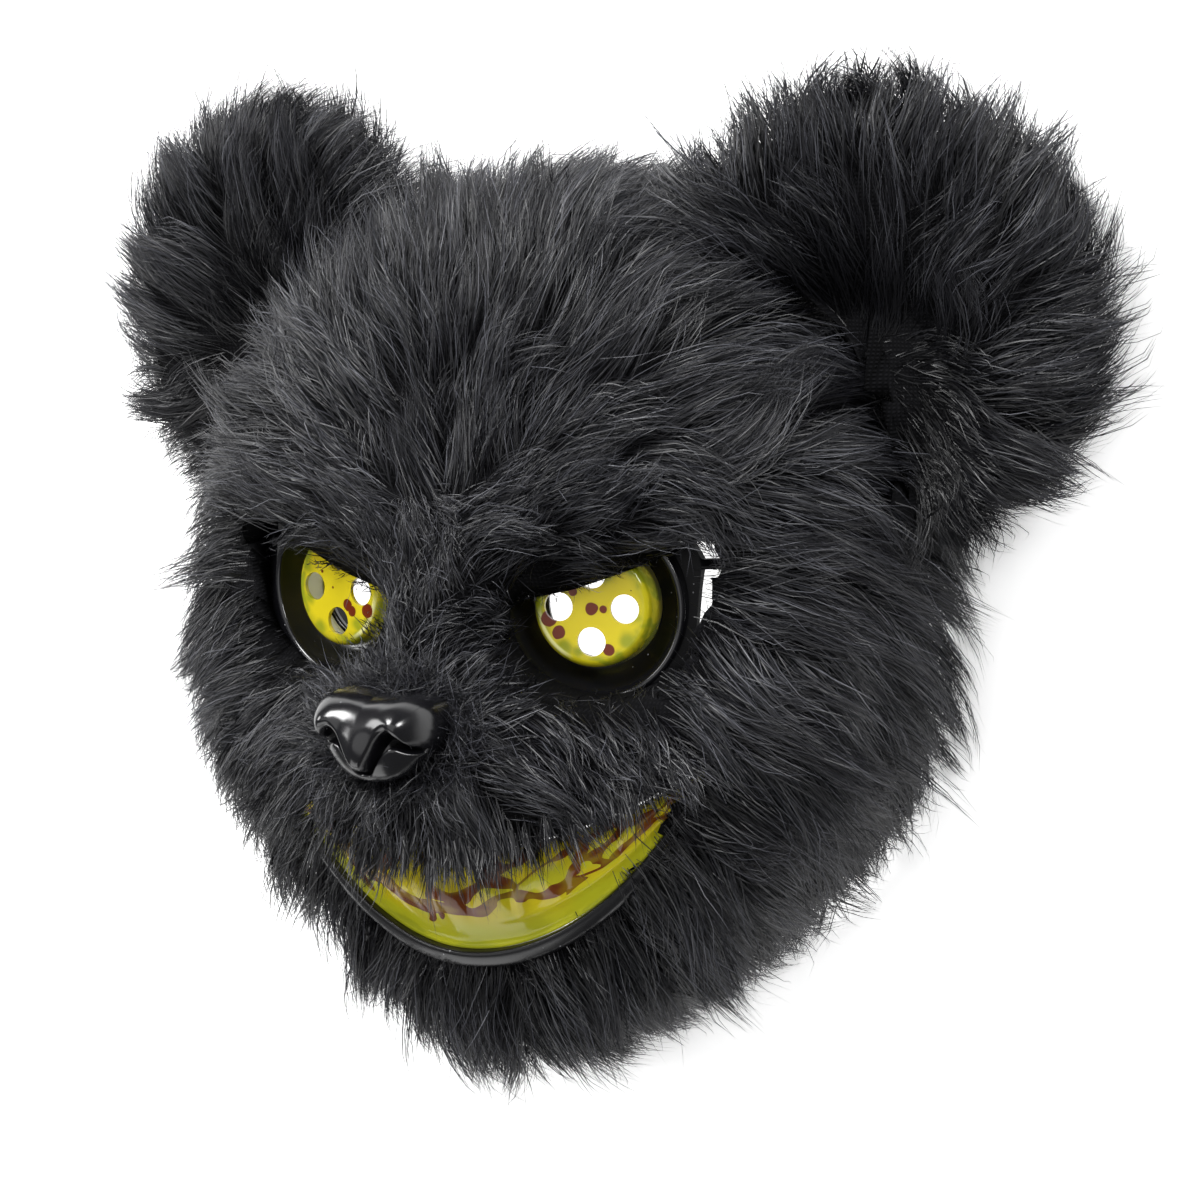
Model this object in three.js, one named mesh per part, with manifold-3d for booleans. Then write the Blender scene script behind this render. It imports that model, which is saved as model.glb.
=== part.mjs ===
// A furry bear mask, lying on its back rim with its face up.
// +X is the right-hand side of the face as it is looked at, +Y runs from chin to crown, +Z comes out of it.
// While the pieces are made, y = 0 is the eye line and z = 0 the plane of the back rim. Sizes are in mm.

import * as THREE from "three";
import { mergeVertices } from "three/addons/utils/BufferGeometryUtils.js";
import Module from "manifold-3d";

// Driving dimensions
const SEAM_GAP = 0.5; // between pieces that are glued or sewn together
const FUR_DEPTH = 17; // backing and pile, from the plastic face to the surface of the fur
const SHELL_WALL = 2; // the moulded plastic face
const RIM_LIFT = 2; // the fur reaches this far behind the plastic face's edge
const FACE_CROWN = 114; // height of the fur at the middle of the face, before brows and muzzle
const WIDEST_LEVEL = 26; // height of the widest section
const RIM_TURN = THREE.MathUtils.degToRad(102); // lean at the rim, which rolls in under the widest section
const FACE_MIDDLE = new THREE.Vector2(0, -20);
const DOME_REACH = 0.85; // below 1, the dome's sides are steeper than a ball's
const DOME_RISE = { mean: 0.66, crown: 0.14 }; // powers: a smaller one is fuller, as at the chin

const PUPIL_HALF = 32; // half the distance between a wearer's pupils, who looks through the inner peep holes
const PEEP = { radius: 4.3, circle: 10 }; // the four holes of a lens
const LENS = { radius: 18.6, flat: 14.6, deep: 10, wall: 1.2, front: 1, shoulderIn: 1.6, shoulderDown: 1.4 };
const LENS_LIFT = 0.4; // the lens's foot stands this far over the socket's floor
const SOCKET = { radius: 28, floor: 16.5, deep: 12, proud: 1.5, edge: 1.4 };
const EYE = { x: PUPIL_HALF + PEEP.circle + 2, y: 0, outward: 12 };

const NOSE = { y: -34, half: 19.6, tall: 25.4, deep: 30, edgeDrop: 14, crossFall: 0.012 };
const NOSE_WING = { at: [12.5, 7], wide: 7.5, tall: 6, high: 2.4 };
const NOSTRIL = { at: [11, -1], wide: 4.6, tall: 2.8, high: -5 };
const NOSE_KEEL = { at: [0, -4], wide: 4.5, tall: 9, high: 2 };
const MOUTH = { half: 84, corner: -40, upper: -75, lower: -107 };
const LIP = { thick: 6.2, proud: 14 };
const INSERT = { wall: 1.6, below: 5, bulge: 4, share: 0.93 }; // its edge lies this far below the lip
const TOOTH = { pitch: 15, high: 1.8 };
const EAR = { x: 105.5, y: 81, z: 38, radius: 71, thick: 52, outward: 14 };
const EAR_ROUND = { side: 0.8, face: 0.7 }; // powers: below 1 they make the pad fuller than a ball
const EAR_CUT_BELOW = 20; // the tool that fits an ear to the head reaches this far under the rim
const EAR_BOWL = { at: [-8, -12], wide: 30, tall: 30, high: 26 };
const TUFT = { stand: 4, ragged: 0.35 }; // how far a tuft of fur stands out at its tip

// Steps that the curved surfaces are made in
const AROUND = 48; // round the head
const RING_CROWDING = 0.92; // below 1 the rings crowd a little towards the rim
const FUR_RINGS = 19;
const SHELL_RINGS = 5;
const ROUND_STEPS = 24; // round an eye
const MOUTH_STEPS = 16; // along each lip
const TOOL_REACH = 220; // longer than the mask is deep
const PLUG_REACH = 40; // from an eye into the mask, past the plastic face
const TINY_EDGE = 0.02;
const toRadians = THREE.MathUtils.degToRad;

// The fur's reach from the middle of the face at the widest section, every 20 degrees from crown to chin
const REACH = new THREE.SplineCurve(
  [150, 148, 139, 129, 124, 124, 119, 117, 125, 136].map((r, i) => new THREE.Vector2(i, r)),
);

function reach(angle) {
  const turn = Math.abs(Math.atan2(Math.sin(angle), Math.cos(angle)));
  return REACH.getPoint(turn / Math.PI).y;
}

// A smooth hump or hollow at (x, y), as wide and tall as stated
function hump(x, y, { at, wide, tall, high, firm = 1 }) {
  const away = ((x - at[0]) / wide) ** 2 + ((y - at[1]) / tall) ** 2;
  return high * Math.exp(-(away ** firm));
}

// A roll that runs from one point to another
function roll(x, y, { from, to, thick, high }) {
  const way = new THREE.Vector2(to[0] - from[0], to[1] - from[1]);
  const here = new THREE.Vector2(x - from[0], y - from[1]);
  const along = THREE.MathUtils.clamp(here.dot(way) / way.lengthSq(), 0, 1);
  const off = here.sub(way.multiplyScalar(along)).length();
  return high * Math.exp(-((off / thick) ** 2));
}

const RELIEF_FADE = 1.6; // how soon the relief grows in from the rim, where it is none
const BROW = { from: [10, 20], to: [88, 44], thick: 17, high: 13 };
const MUZZLE = { at: [0, -47], wide: 59, tall: 40, high: 33, firm: 1.7 };
const FUR_HUMPS = [
  MUZZLE,
  { at: [0, -4], wide: 14, tall: 26, high: 4 }, // bridge of the nose
  { at: [0, -132], wide: 44, tall: 24, high: 9 }, // beard
  { at: [0, 38], wide: 8, tall: 24, high: -9 }, // frown between the brows
];
const FUR_HUMPS_EACH_SIDE = [
  { at: [46, -7], wide: 30, tall: 23, high: -13 }, // hollow of the eye
  { at: [84, -58], wide: 36, tall: 38, high: 12 }, // cheek
  { at: [38, 86], wide: 40, tall: 34, high: 6 }, // forehead
];

function furRelief(x, y) {
  const side = Math.abs(x);
  let z = roll(side, y, BROW);
  for (const h of FUR_HUMPS) z += hump(x, y, h);
  for (const h of FUR_HUMPS_EACH_SIDE) z += hump(side, y, h);
  return z;
}

const shellRelief = (x, y) => hump(x, y, { ...MUZZLE, wide: 48, tall: 32, high: 27 });

// The head's surfaces, each at its distance inside the fur's own
const furSkin = { inset: 0, rim: 0, relief: furRelief };
const backingSkin = { inset: FUR_DEPTH, rim: 0, relief: shellRelief };
const shellSkin = { inset: FUR_DEPTH + SEAM_GAP, rim: RIM_LIFT, relief: shellRelief };
const insideSkin = { inset: shellSkin.inset + SHELL_WALL, rim: RIM_LIFT, relief: shellRelief };

// The dome's share of its full height, at a lean from the middle of the face
function domeRise(angle, lean) {
  return Math.max(Math.cos(lean), 0) ** (DOME_RISE.mean + DOME_RISE.crown * Math.cos(angle));
}

// A point of a head surface: angle round from the crown, and lean from the middle of the face to the rim.
// Each feature lies at one angle and lean, so the surfaces under the fur follow it side by side.
function headPoint(angle, lean, skin) {
  const way = new THREE.Vector2(Math.sin(angle), Math.cos(angle));
  const spread = Math.sin(lean) ** DOME_REACH;
  const place = way.clone().multiplyScalar((reach(angle) - skin.inset) * spread).add(FACE_MIDDLE);
  const feature = way.multiplyScalar(reach(angle) * spread).add(FACE_MIDDLE);
  const rise = domeRise(angle, lean);
  const tuck = Math.max(lean - Math.PI / 2, 0) / (RIM_TURN - Math.PI / 2);
  const dome = (FACE_CROWN - skin.inset - WIDEST_LEVEL) * rise;
  const bare = WIDEST_LEVEL + dome - (WIDEST_LEVEL - skin.rim) * tuck;
  const z = bare + skin.relief(feature.x, feature.y) * Math.min(1, rise * RELIEF_FADE);
  return new THREE.Vector3(place.x, place.y, z);
}

// The height of a head surface above the rim's plane
function headHeight(x, y, skin) {
  const dx = x - FACE_MIDDLE.x;
  const dy = y - FACE_MIDDLE.y;
  const angle = Math.atan2(dx, dy);
  const share = Math.min(1, Math.hypot(dx, dy) / (reach(angle) - skin.inset));
  return headPoint(angle, Math.asin(share ** (1 / DOME_REACH)), skin).z;
}

// How far a tuft of fur stands out at step j of ring i. Tufts are three rings long and lie over each other
// like shingles, each row half a tuft's width on from the last, with their tips away from the middle.
function tuft(i, j, stepsWide) {
  const row = Math.floor((i - 1) / 3);
  const down = ((i - 1) % 3) / 2;
  const across = Math.abs(2 * ((j / stepsWide + row / 2) % 1) - 1);
  const ragged = 1 + TUFT.ragged * Math.sin(5.3 * j + 2.9 * row);
  return TUFT.stand * (down * across * ragged - 0.4);
}

// Rings of points on a head surface, from the middle of the face out to the rim
function headRings(skin, count, tufted = false) {
  const rings = [[headPoint(0, 0, skin)]];
  for (let i = 1; i <= count; i += 1) {
    const lean = RIM_TURN * (i / count) ** RING_CROWDING;
    const ring = [];
    for (let j = 0; j < AROUND; j += 1) {
      const angle = (-2 * Math.PI * j) / AROUND;
      const out = new THREE.Vector3(Math.sin(angle), Math.cos(angle), 0).multiplyScalar(Math.sin(lean));
      out.z = Math.cos(lean);
      const stand = tufted && i < count ? tuft(i, j, i > 6 ? 2 : 4) : 0;
      ring.push(headPoint(angle, lean, skin).addScaledVector(out, stand));
    }
    rings.push(ring);
  }
  return rings;
}

// A closed skin over rings of points. A ring of one point is a pole, and a looped skin joins its last ring to
// its first. Each square is split along its shorter diagonal, so that skins side by side fold the same way.
function skinOver(rings, looped = false) {
  const points = rings.flat();
  const start = [];
  let total = 0;
  for (const ring of rings) {
    start.push(total);
    total += ring.length;
  }
  const index = [];
  const joins = looped ? rings.length : rings.length - 1;
  for (let i = 0; i < joins; i += 1) {
    const k = (i + 1) % rings.length;
    const upper = rings[i].length > 1;
    const lower = rings[k].length > 1;
    const count = Math.max(rings[i].length, rings[k].length);
    for (let j = 0; j < count; j += 1) {
      const next = (j + 1) % count;
      const a = start[i] + (upper ? j : 0);
      const b = start[i] + (upper ? next : 0);
      const c = start[k] + (lower ? j : 0);
      const d = start[k] + (lower ? next : 0);
      const falling = points[a].distanceTo(points[d]) <= points[b].distanceTo(points[c]);
      if (!upper) index.push(a, c, d);
      else if (!lower) index.push(a, d, b);
      else if (falling) index.push(a, c, d, a, d, b);
      else index.push(a, c, b, b, c, d);
    }
  }
  const geometry = new THREE.BufferGeometry().setFromPoints(points);
  geometry.setIndex(index);
  return geometry;
}

// Boolean joins and cuts
const wasm = await Module();
wasm.setup();

function solidOf(geometry) {
  const bare = geometry.clone();
  bare.deleteAttribute("normal");
  bare.deleteAttribute("uv");
  const merged = mergeVertices(bare, 1e-3);
  const vertProperties = new Float32Array(merged.attributes.position.array);
  const triVerts = new Uint32Array(merged.index.array);
  return new wasm.Manifold(new wasm.Mesh({ numProp: 3, vertProperties, triVerts }));
}

// The solid's surface, with the tiny edges that cuts leave behind drawn together
function geometryOf(solid) {
  const { vertProperties, triVerts } = solid.getMesh();
  const points = [];
  for (let i = 0; i < vertProperties.length; i += 3) {
    points.push(new THREE.Vector3().fromArray(vertProperties, i));
  }
  const kept = points.map((_, i) => i);
  const keptOf = (i) => (kept[i] === i ? i : keptOf(kept[i]));
  const triangles = [];
  for (let i = 0; i < triVerts.length; i += 3) triangles.push([...triVerts.slice(i, i + 3)]);
  for (const corners of triangles) {
    for (let e = 0; e < 3; e += 1) {
      const a = keptOf(corners[e]);
      const b = keptOf(corners[(e + 1) % 3]);
      if (points[a].distanceTo(points[b]) < TINY_EDGE) kept[Math.max(a, b)] = Math.min(a, b);
    }
  }
  const merged = triangles.map((corners) => corners.map(keptOf));
  const whole = merged.filter(([a, b, c]) => a !== b && b !== c && c !== a);
  const geometry = new THREE.BufferGeometry().setFromPoints(points);
  geometry.setIndex(whole.flat());
  geometry.computeVertexNormals();
  return geometry;
}

// A body with pieces joined on, and then tools cut out of it
function worked(geometry, { joins = [], cuts = [] }) {
  let solid = solidOf(geometry);
  for (const piece of joins) solid = solid.add(solidOf(piece));
  for (const tool of cuts) solid = solid.subtract(solidOf(tool));
  return geometryOf(solid);
}

function mirrored(geometry) {
  const copy = geometry.clone();
  copy.scale(-1, 1, 1);
  const index = copy.index.array;
  for (let i = 0; i < index.length; i += 3) [index[i], index[i + 1]] = [index[i + 1], index[i]];
  copy.computeVertexNormals();
  return copy;
}

// A straight-sided tool along Z over an outline of [x, y] points, from below the rim to above the nose
function throughTool(points) {
  const shape = new THREE.Shape(points.map(([x, y]) => new THREE.Vector2(x, y)));
  const tool = new THREE.ExtrudeGeometry(shape, { depth: TOOL_REACH, bevelEnabled: false });
  tool.translate(0, 0, -TOOL_REACH / 10);
  return tool;
}

// A smooth closed outline through a few points
function smoothOutline(points, steps) {
  const places = points.map(([x, y]) => new THREE.Vector3(x, y, 0));
  const curve = new THREE.CatmullRomCurve3(places, true, "centripetal");
  return curve.getPoints(steps).slice(0, -1).map((p) => [p.x, p.y]);
}

const otherSide = (points) => points.map(([x, y]) => [-x, y]);
const grownAbout = (points, y, share) => points.map(([px, py]) => [px * share, y + (py - y) * share]);

// The fur's opening for the right eye: straight along the brow, round under the eye, open over the air slot
const EYE_OPENING = smoothOutline(
  [
    [-23, -1],
    [-4, 5.5],
    [20, 15],
    [38, 24],
    [38, 4],
    [29, -15],
    [7, -25],
    [-15, -18],
  ].map(([x, y]) => [EYE.x + x, EYE.y + y]),
  ROUND_STEPS,
);

// The mouth's edges: share runs from -1 at the left corner to 1 at the right one
const lowerEdge = (share) => MOUTH.lower + (MOUTH.corner - MOUTH.lower) * Math.abs(share) ** 2.1;
const upperEdge = (share) => MOUTH.upper + (MOUTH.corner - MOUTH.upper) * Math.abs(share) ** 1.8;

// The edge of the mouth, grown by a share of the lip and a gap. It starts at the left corner, follows the
// lower lip and comes back along the upper one. The lip is thinnest at the corners, which run out to points.
function mouthOutline(lipShare, gap = 0, steps = MOUTH_STEPS) {
  const edge = [];
  for (const [side, height] of [[-1, lowerEdge], [1, upperEdge]]) {
    for (let i = 0; i < steps; i += 1) {
      const share = side * Math.cos((Math.PI * i) / steps);
      edge.push(new THREE.Vector2(MOUTH.half * share, height(share)));
    }
  }
  return edge.map((p, i) => {
    const along = edge[(i + 1) % edge.length].clone().sub(edge.at(i - 1)).normalize();
    const thick = LIP.thick * (1 - 0.65 * (p.x / MOUTH.half) ** 2);
    const margin = (thick * lipShare + gap) * (i % steps === 0 ? 3 : 1);
    return [p.x + along.y * margin, p.y - along.x * margin];
  });
}

// The front of the mouth's insert, which follows the plastic face and bulges between the lips
function insertFront(x, y, across) {
  return headHeight(x, y, shellSkin) + LIP.proud - INSERT.below + INSERT.bulge * Math.sin(Math.PI * across);
}

const NOSE_OUTLINE = smoothOutline(
  [
    [0, 12],
    [13, NOSE.tall / 2],
    [18.2, 10],
    [NOSE.half, 4],
    [16, -4],
    [9.5, -10.5],
    [0, -NOSE.tall / 2],
    [-9.5, -10.5],
    [-16, -4],
    [-NOSE.half, 4],
    [-18.2, 10],
    [-13, NOSE.tall / 2],
  ].map(([x, y]) => [x, NOSE.y + y]),
  28,
);

// The eye's own frame: its origin on the plastic face, and its axis turned outward
function eyeFrame() {
  const frame = new THREE.Object3D();
  frame.position.set(EYE.x, EYE.y, headHeight(EYE.x, EYE.y, shellSkin) + 1);
  frame.rotation.y = toRadians(EYE.outward);
  frame.updateMatrix();
  return frame;
}

// A closed ring or cup turned about the eye's axis, from [radius, height] points
function turned(profile) {
  const geometry = new THREE.LatheGeometry(profile.map(([r, z]) => new THREE.Vector2(r, z)), ROUND_STEPS);
  geometry.rotateX(Math.PI / 2);
  return geometry;
}

// A plug that fills the eye from inside the mask up to a height over its origin
function eyePlug(radius, top) {
  const plug = turned([[0, -PLUG_REACH], [radius, -PLUG_REACH], [radius, top], [0, top]]);
  plug.applyMatrix4(eyeFrame().matrix);
  return plug;
}

// The fur: one thick hide over the plastic face, open at the eyes, nose and mouth, hollowed over the sockets
function furCover() {
  const outside = headRings(furSkin, FUR_RINGS, true);
  const backing = headRings(backingSkin, SHELL_RINGS).reverse();
  const hollow = eyePlug(SOCKET.radius + SEAM_GAP, SOCKET.proud + SEAM_GAP);
  return worked(skinOver([...outside, ...backing]), {
    cuts: [
      hollow,
      mirrored(hollow),
      throughTool(EYE_OPENING),
      throughTool(otherSide(EYE_OPENING)),
      throughTool(mouthOutline(1, SEAM_GAP)),
      throughTool(grownAbout(NOSE_OUTLINE, NOSE.y, 1.03)),
    ],
  });
}

// A round socket of the plastic face, a dished ring that the lens sits in
function socketRing() {
  const { radius, floor, deep, proud, edge } = SOCKET;
  const ring = turned([
    [radius - edge, proud],
    [radius - 2.2 * edge, -deep / 5],
    [radius - 5 * edge, -deep + SHELL_WALL],
    [floor, -deep + SHELL_WALL],
    [floor, -deep],
    [radius - 3 * edge, -deep],
    [radius, -deep / 2],
    [radius, proud],
    [radius - edge, proud],
  ]);
  ring.applyMatrix4(eyeFrame().matrix);
  return ring;
}

// The raised lip of the plastic face: a band that follows the mouth's edge and thickens towards the chin
function lipBand() {
  const inner = mouthOutline(0);
  const outer = mouthOutline(1);
  const rings = inner.map(([ix, iy], i) => {
    const [ox, oy] = outer[i];
    const foot = headHeight(ix, iy, shellSkin) - 0.5;
    const top = headHeight(ix, iy, shellSkin) + LIP.proud;
    return [
      new THREE.Vector3(ox, oy, foot - 2),
      new THREE.Vector3(ox, oy, top - 2),
      new THREE.Vector3(THREE.MathUtils.lerp(ix, ox, 0.4), THREE.MathUtils.lerp(iy, oy, 0.4), top),
      new THREE.Vector3(ix, iy, top - 0.8),
      new THREE.Vector3(ix, iy, foot),
    ];
  });
  return skinOver(rings, true);
}

// The air slot at the outer side of the right socket, below and above its bar, from the eye's middle
const AIR_SLOTS = [
  [[28.8, -5], [31.6, -5], [34, 11.5], [29.4, 11.5]],
  [[29.2, 14.5], [34.6, 14.5], [36.5, 21], [25.5, 21]],
].map((slot) => slot.map(([x, y]) => [EYE.x + x, EYE.y + y]));

// The plastic face under the fur, moulded in one with its sockets and lip, an air slot beside each socket
function faceShell() {
  const sheet = skinOver([
    ...headRings(shellSkin, SHELL_RINGS),
    ...headRings(insideSkin, SHELL_RINGS).reverse(),
  ]);
  const socket = socketRing();
  const hole = eyePlug(SOCKET.radius - SOCKET.edge / 2, PLUG_REACH);
  const open = worked(sheet, {
    cuts: [hole, mirrored(hole), throughTool(mouthOutline(0.3, 0, MOUTH_STEPS - 3))],
  });
  return worked(open, {
    joins: [socket, mirrored(socket), lipBand()],
    cuts: [...AIR_SLOTS, ...AIR_SLOTS.map(otherSide)].map(throughTool),
  });
}

// A lens: a cup with a flat front, a rounded edge and four peep holes
function eyeLens() {
  const { radius, flat, deep, wall, front, shoulderDown } = LENS;
  const shoulder = radius - LENS.shoulderIn;
  const foot = -deep + LENS_LIFT;
  const cup = turned([
    [0, front - wall],
    [flat, front - wall],
    [shoulder - wall, front - wall - shoulderDown],
    [radius - wall, foot],
    [radius, foot],
    [shoulder, front - shoulderDown],
    [flat, front],
    [0, front],
  ]);
  const holes = [0, 1, 2, 3].map((quarter) => {
    const drill = new THREE.CylinderGeometry(PEEP.radius, PEEP.radius, 8, 14);
    drill.rotateX(Math.PI / 2);
    const turn = (quarter * Math.PI) / 2;
    drill.translate(PEEP.circle * Math.cos(turn), PEEP.circle * Math.sin(turn), 0);
    return drill;
  });
  return worked(cup, { cuts: holes });
}

// The mouth's insert: a bulging sheet with a wavy row of teeth pressed into it
function mouthInsert() {
  const along = 30;
  const across = 4;
  const rings = [];
  for (let i = 1; i < along; i += 1) {
    const share = -Math.cos((Math.PI * i) / along) * INSERT.share;
    const x = MOUTH.half * share;
    const low = lowerEdge(share) + 1.5 * SEAM_GAP;
    const high = upperEdge(share) - 1.5 * SEAM_GAP;
    const front = [];
    for (let j = 0; j <= across; j += 1) {
      const t = j / across;
      const y = THREE.MathUtils.lerp(low, high, t);
      const teeth = TOOTH.high * Math.sin(Math.PI * t) * Math.cos((2 * Math.PI * x) / TOOTH.pitch);
      front.push(new THREE.Vector3(x, y, insertFront(x, y, t) + teeth));
    }
    const back = front.map((p) => p.clone().setZ(p.z - INSERT.wall)).reverse();
    rings.push([...front, ...back]);
  }
  const centre = (ring) => {
    const sum = ring.reduce((s, p) => s.add(p), new THREE.Vector3());
    return [sum.divideScalar(ring.length)];
  };
  return skinOver([centre(rings[0]), ...rings, centre(rings.at(-1))]);
}

// The nose: two rounded wings over the nostrils, and a keel between them down to the lip
function nose() {
  const steps = 6;
  const foot = (x, y) => headHeight(x, y, shellSkin) + SEAM_GAP;
  const base = foot(0, NOSE.y);
  const front = (x, y, lean) => {
    const side = Math.abs(x);
    const up = y - NOSE.y;
    const bulge = base + NOSE.deep - NOSE.edgeDrop * (1 - Math.cos(lean)) - NOSE.crossFall * x * x;
    return bulge + hump(side, up, NOSE_WING) + hump(side, up, NOSTRIL) + hump(x, up, NOSE_KEEL);
  };
  const rings = [[new THREE.Vector3(0, NOSE.y, front(0, NOSE.y, 0))]];
  const around = NOSE_OUTLINE.slice().reverse();
  for (let i = 1; i <= steps; i += 1) {
    const share = (i / steps) ** 0.85;
    const ring = grownAbout(around, NOSE.y, share);
    const lean = (share * Math.PI) / 2;
    rings.push(ring.map(([x, y]) => new THREE.Vector3(x, y, front(x, y, lean))));
  }
  for (const share of [1, 0.5]) {
    const ring = grownAbout(around, NOSE.y, share);
    rings.push(ring.map(([x, y]) => new THREE.Vector3(x, y, foot(x, y))));
  }
  rings.push([new THREE.Vector3(0, NOSE.y, base)]);
  return skinOver(rings);
}

// An ear: a stuffed round pad with a hollow in front, cut to lean on the head
function ear() {
  const around = 30;
  const down = 11;
  const rings = [];
  for (let i = 0; i <= down; i += 1) {
    const lean = (Math.PI * i) / down;
    const count = i === 0 || i === down ? 1 : around;
    const face = Math.sign(Math.cos(lean)) * Math.abs(Math.cos(lean)) ** EAR_ROUND.face;
    const ring = [];
    for (let j = 0; j < count; j += 1) {
      const angle = (2 * Math.PI * j) / around;
      const grow = count > 1 ? tuft(i, j, 2) : 0;
      const r = (EAR.radius + grow) * Math.sin(lean) ** EAR_ROUND.side;
      const x = r * Math.cos(angle);
      const y = r * Math.sin(angle);
      const bowl = hump(x, y, EAR_BOWL);
      ring.push(new THREE.Vector3(x, y, (EAR.thick / 2) * face - bowl * Math.max(face, 0)));
    }
    rings.push(ring);
  }
  const pad = skinOver(rings);
  pad.rotateY(toRadians(EAR.outward));
  pad.translate(EAR.x, EAR.y, EAR.z);
  const headSkin = { ...furSkin, inset: -TUFT.stand, rim: -EAR_CUT_BELOW };
  const underneath = [new THREE.Vector3(0, FACE_MIDDLE.y, -EAR_CUT_BELOW)];
  const head = skinOver([...headRings(headSkin, FUR_RINGS - 1), underneath]);
  return worked(pad, { cuts: [head] });
}

// Materials
const fur = new THREE.MeshStandardMaterial({ color: 0x17171a, roughness: 0.85, metalness: 0 });
const blackPlastic = new THREE.MeshStandardMaterial({ color: 0x0b0b0d, roughness: 0.18, metalness: 0 });
const yellowFilm = new THREE.MeshStandardMaterial({ color: 0xd0c41a, roughness: 0.2, metalness: 0 });

// The mask
const mask = new THREE.Group();

function add(name, geometry, material, parent = mask) {
  const mesh = new THREE.Mesh(geometry, material);
  mesh.name = name;
  parent.add(mesh);
}

add("fur_cover", furCover(), fur);
add("face_shell", faceShell(), blackPlastic);
add("nose", nose(), blackPlastic);
add("mouth_insert", mouthInsert(), yellowFilm);

const earPad = ear();
add("ear_right", earPad, fur);
add("ear_left", mirrored(earPad), fur);

const lens = eyeLens();
const rightEye = eyeFrame();
const leftEye = eyeFrame();
leftEye.position.x *= -1;
leftEye.rotation.y *= -1;
mask.add(rightEye, leftEye);
add("eye_lens_right", lens, yellowFilm, rightEye);
add("eye_lens_left", lens, yellowFilm, leftEye);

// The origin is the middle of the mask's footprint, on the surface that it lies on
const box = new THREE.Box3().setFromObject(mask);
const middle = box.getCenter(new THREE.Vector3());
mask.position.set(-middle.x, -middle.y, -box.min.z);

export default mask;
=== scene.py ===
# %% [markdown]
# # A furry bear mask
#
# The mask is a moulded plastic face under long faux fur, with stuffed ears, see-through yellow eyes and a
# pressed yellow grin. It can't stand by itself, so it lies on its back rim and the camera looks down on it.
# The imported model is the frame: it fixes every size, and each piece here is made in it, in metres.

import math

import bmesh
import bpy
import numpy as np
from mathutils import Matrix, Vector
from mathutils.bvhtree import BVHTree
from mathutils.kdtree import KDTree


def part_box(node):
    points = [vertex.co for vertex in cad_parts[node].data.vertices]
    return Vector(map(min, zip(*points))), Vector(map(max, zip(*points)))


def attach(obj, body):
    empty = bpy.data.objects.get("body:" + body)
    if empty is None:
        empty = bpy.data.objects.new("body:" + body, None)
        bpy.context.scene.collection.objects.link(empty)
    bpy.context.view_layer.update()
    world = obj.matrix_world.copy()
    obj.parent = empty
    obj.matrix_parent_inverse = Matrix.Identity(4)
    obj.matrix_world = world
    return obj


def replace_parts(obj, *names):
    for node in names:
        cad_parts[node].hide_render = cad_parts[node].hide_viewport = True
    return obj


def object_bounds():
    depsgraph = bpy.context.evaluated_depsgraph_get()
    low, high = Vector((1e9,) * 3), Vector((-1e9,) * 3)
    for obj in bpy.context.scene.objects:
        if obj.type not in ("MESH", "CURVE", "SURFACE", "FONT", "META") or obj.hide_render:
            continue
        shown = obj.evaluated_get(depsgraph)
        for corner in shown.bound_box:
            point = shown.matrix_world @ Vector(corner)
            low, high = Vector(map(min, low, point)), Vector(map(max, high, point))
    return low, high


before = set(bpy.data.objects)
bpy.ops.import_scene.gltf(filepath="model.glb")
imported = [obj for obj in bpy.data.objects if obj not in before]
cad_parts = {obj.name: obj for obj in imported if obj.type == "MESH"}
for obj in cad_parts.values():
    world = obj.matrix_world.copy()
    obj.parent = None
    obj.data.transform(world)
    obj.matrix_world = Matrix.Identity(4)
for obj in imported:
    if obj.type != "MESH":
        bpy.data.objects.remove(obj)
cad_low, cad_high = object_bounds()
scene = bpy.context.scene
MM = 0.001


def in_scene(name, data):
    """A new object that shows the data."""
    thing = bpy.data.objects.new(name, data)
    scene.collection.objects.link(thing)
    return thing


def part_of_mask(thing, node):
    """Marks a piece as riding on the mask in place of a node of the frame."""
    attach(thing, "root")
    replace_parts(thing, node)
    print(thing.name, len(thing.data.polygons), "faces")


print("frame box in mm:", [round(v / MM, 1) for v in (*cad_low, *cad_high)])

# %% [markdown]
# ## The camera
#
# The face is looked at from its right-hand side, and a little from above the eyes. The mask lies with its
# crown towards +Y, so +Y is the upright of the picture, and the camera hangs over the mask. A long lens keeps
# the nose from growing too large. Two angles and a distance are easier to tune than a matrix.

# %% Place the camera
SIDEWAYS, UPWARD = math.radians(28), math.radians(8)
CAMERA_AWAY = 0.76
LOOK_AT = Vector((0.026, -0.002, 0.055))
LENS_MM = 74

camera_data = bpy.data.cameras.new("camera")
camera_data.lens = LENS_MM
camera_data.sensor_width = 36
camera = in_scene("camera", camera_data)
toward_camera = Vector(
    (math.sin(SIDEWAYS) * math.cos(UPWARD), math.sin(UPWARD), math.cos(SIDEWAYS) * math.cos(UPWARD))
)
right = Vector((0, 1, 0)).cross(toward_camera).normalized()
upright = toward_camera.cross(right)
camera.matrix_world = (
    Matrix.Translation(LOOK_AT + toward_camera * CAMERA_AWAY)
    @ Matrix((right, upright, toward_camera)).transposed().to_4x4()
)
scene.camera = camera
scene.view_settings.view_transform = "Standard"
print("camera at", [round(v, 3) for v in camera.matrix_world.translation])

# %% [markdown]
# ## The stage
#
# A plain pale floor, wide soft lamps and a dim room. The floor is a light table: it glows a little all over,
# so that the shadow on it stays faint, and brightly under the hollow of the mask, so that the holes show a
# bright studio and the yellow film is lit from behind. One lamp stands on each side, because black fur only
# shows by the light along it.

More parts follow.
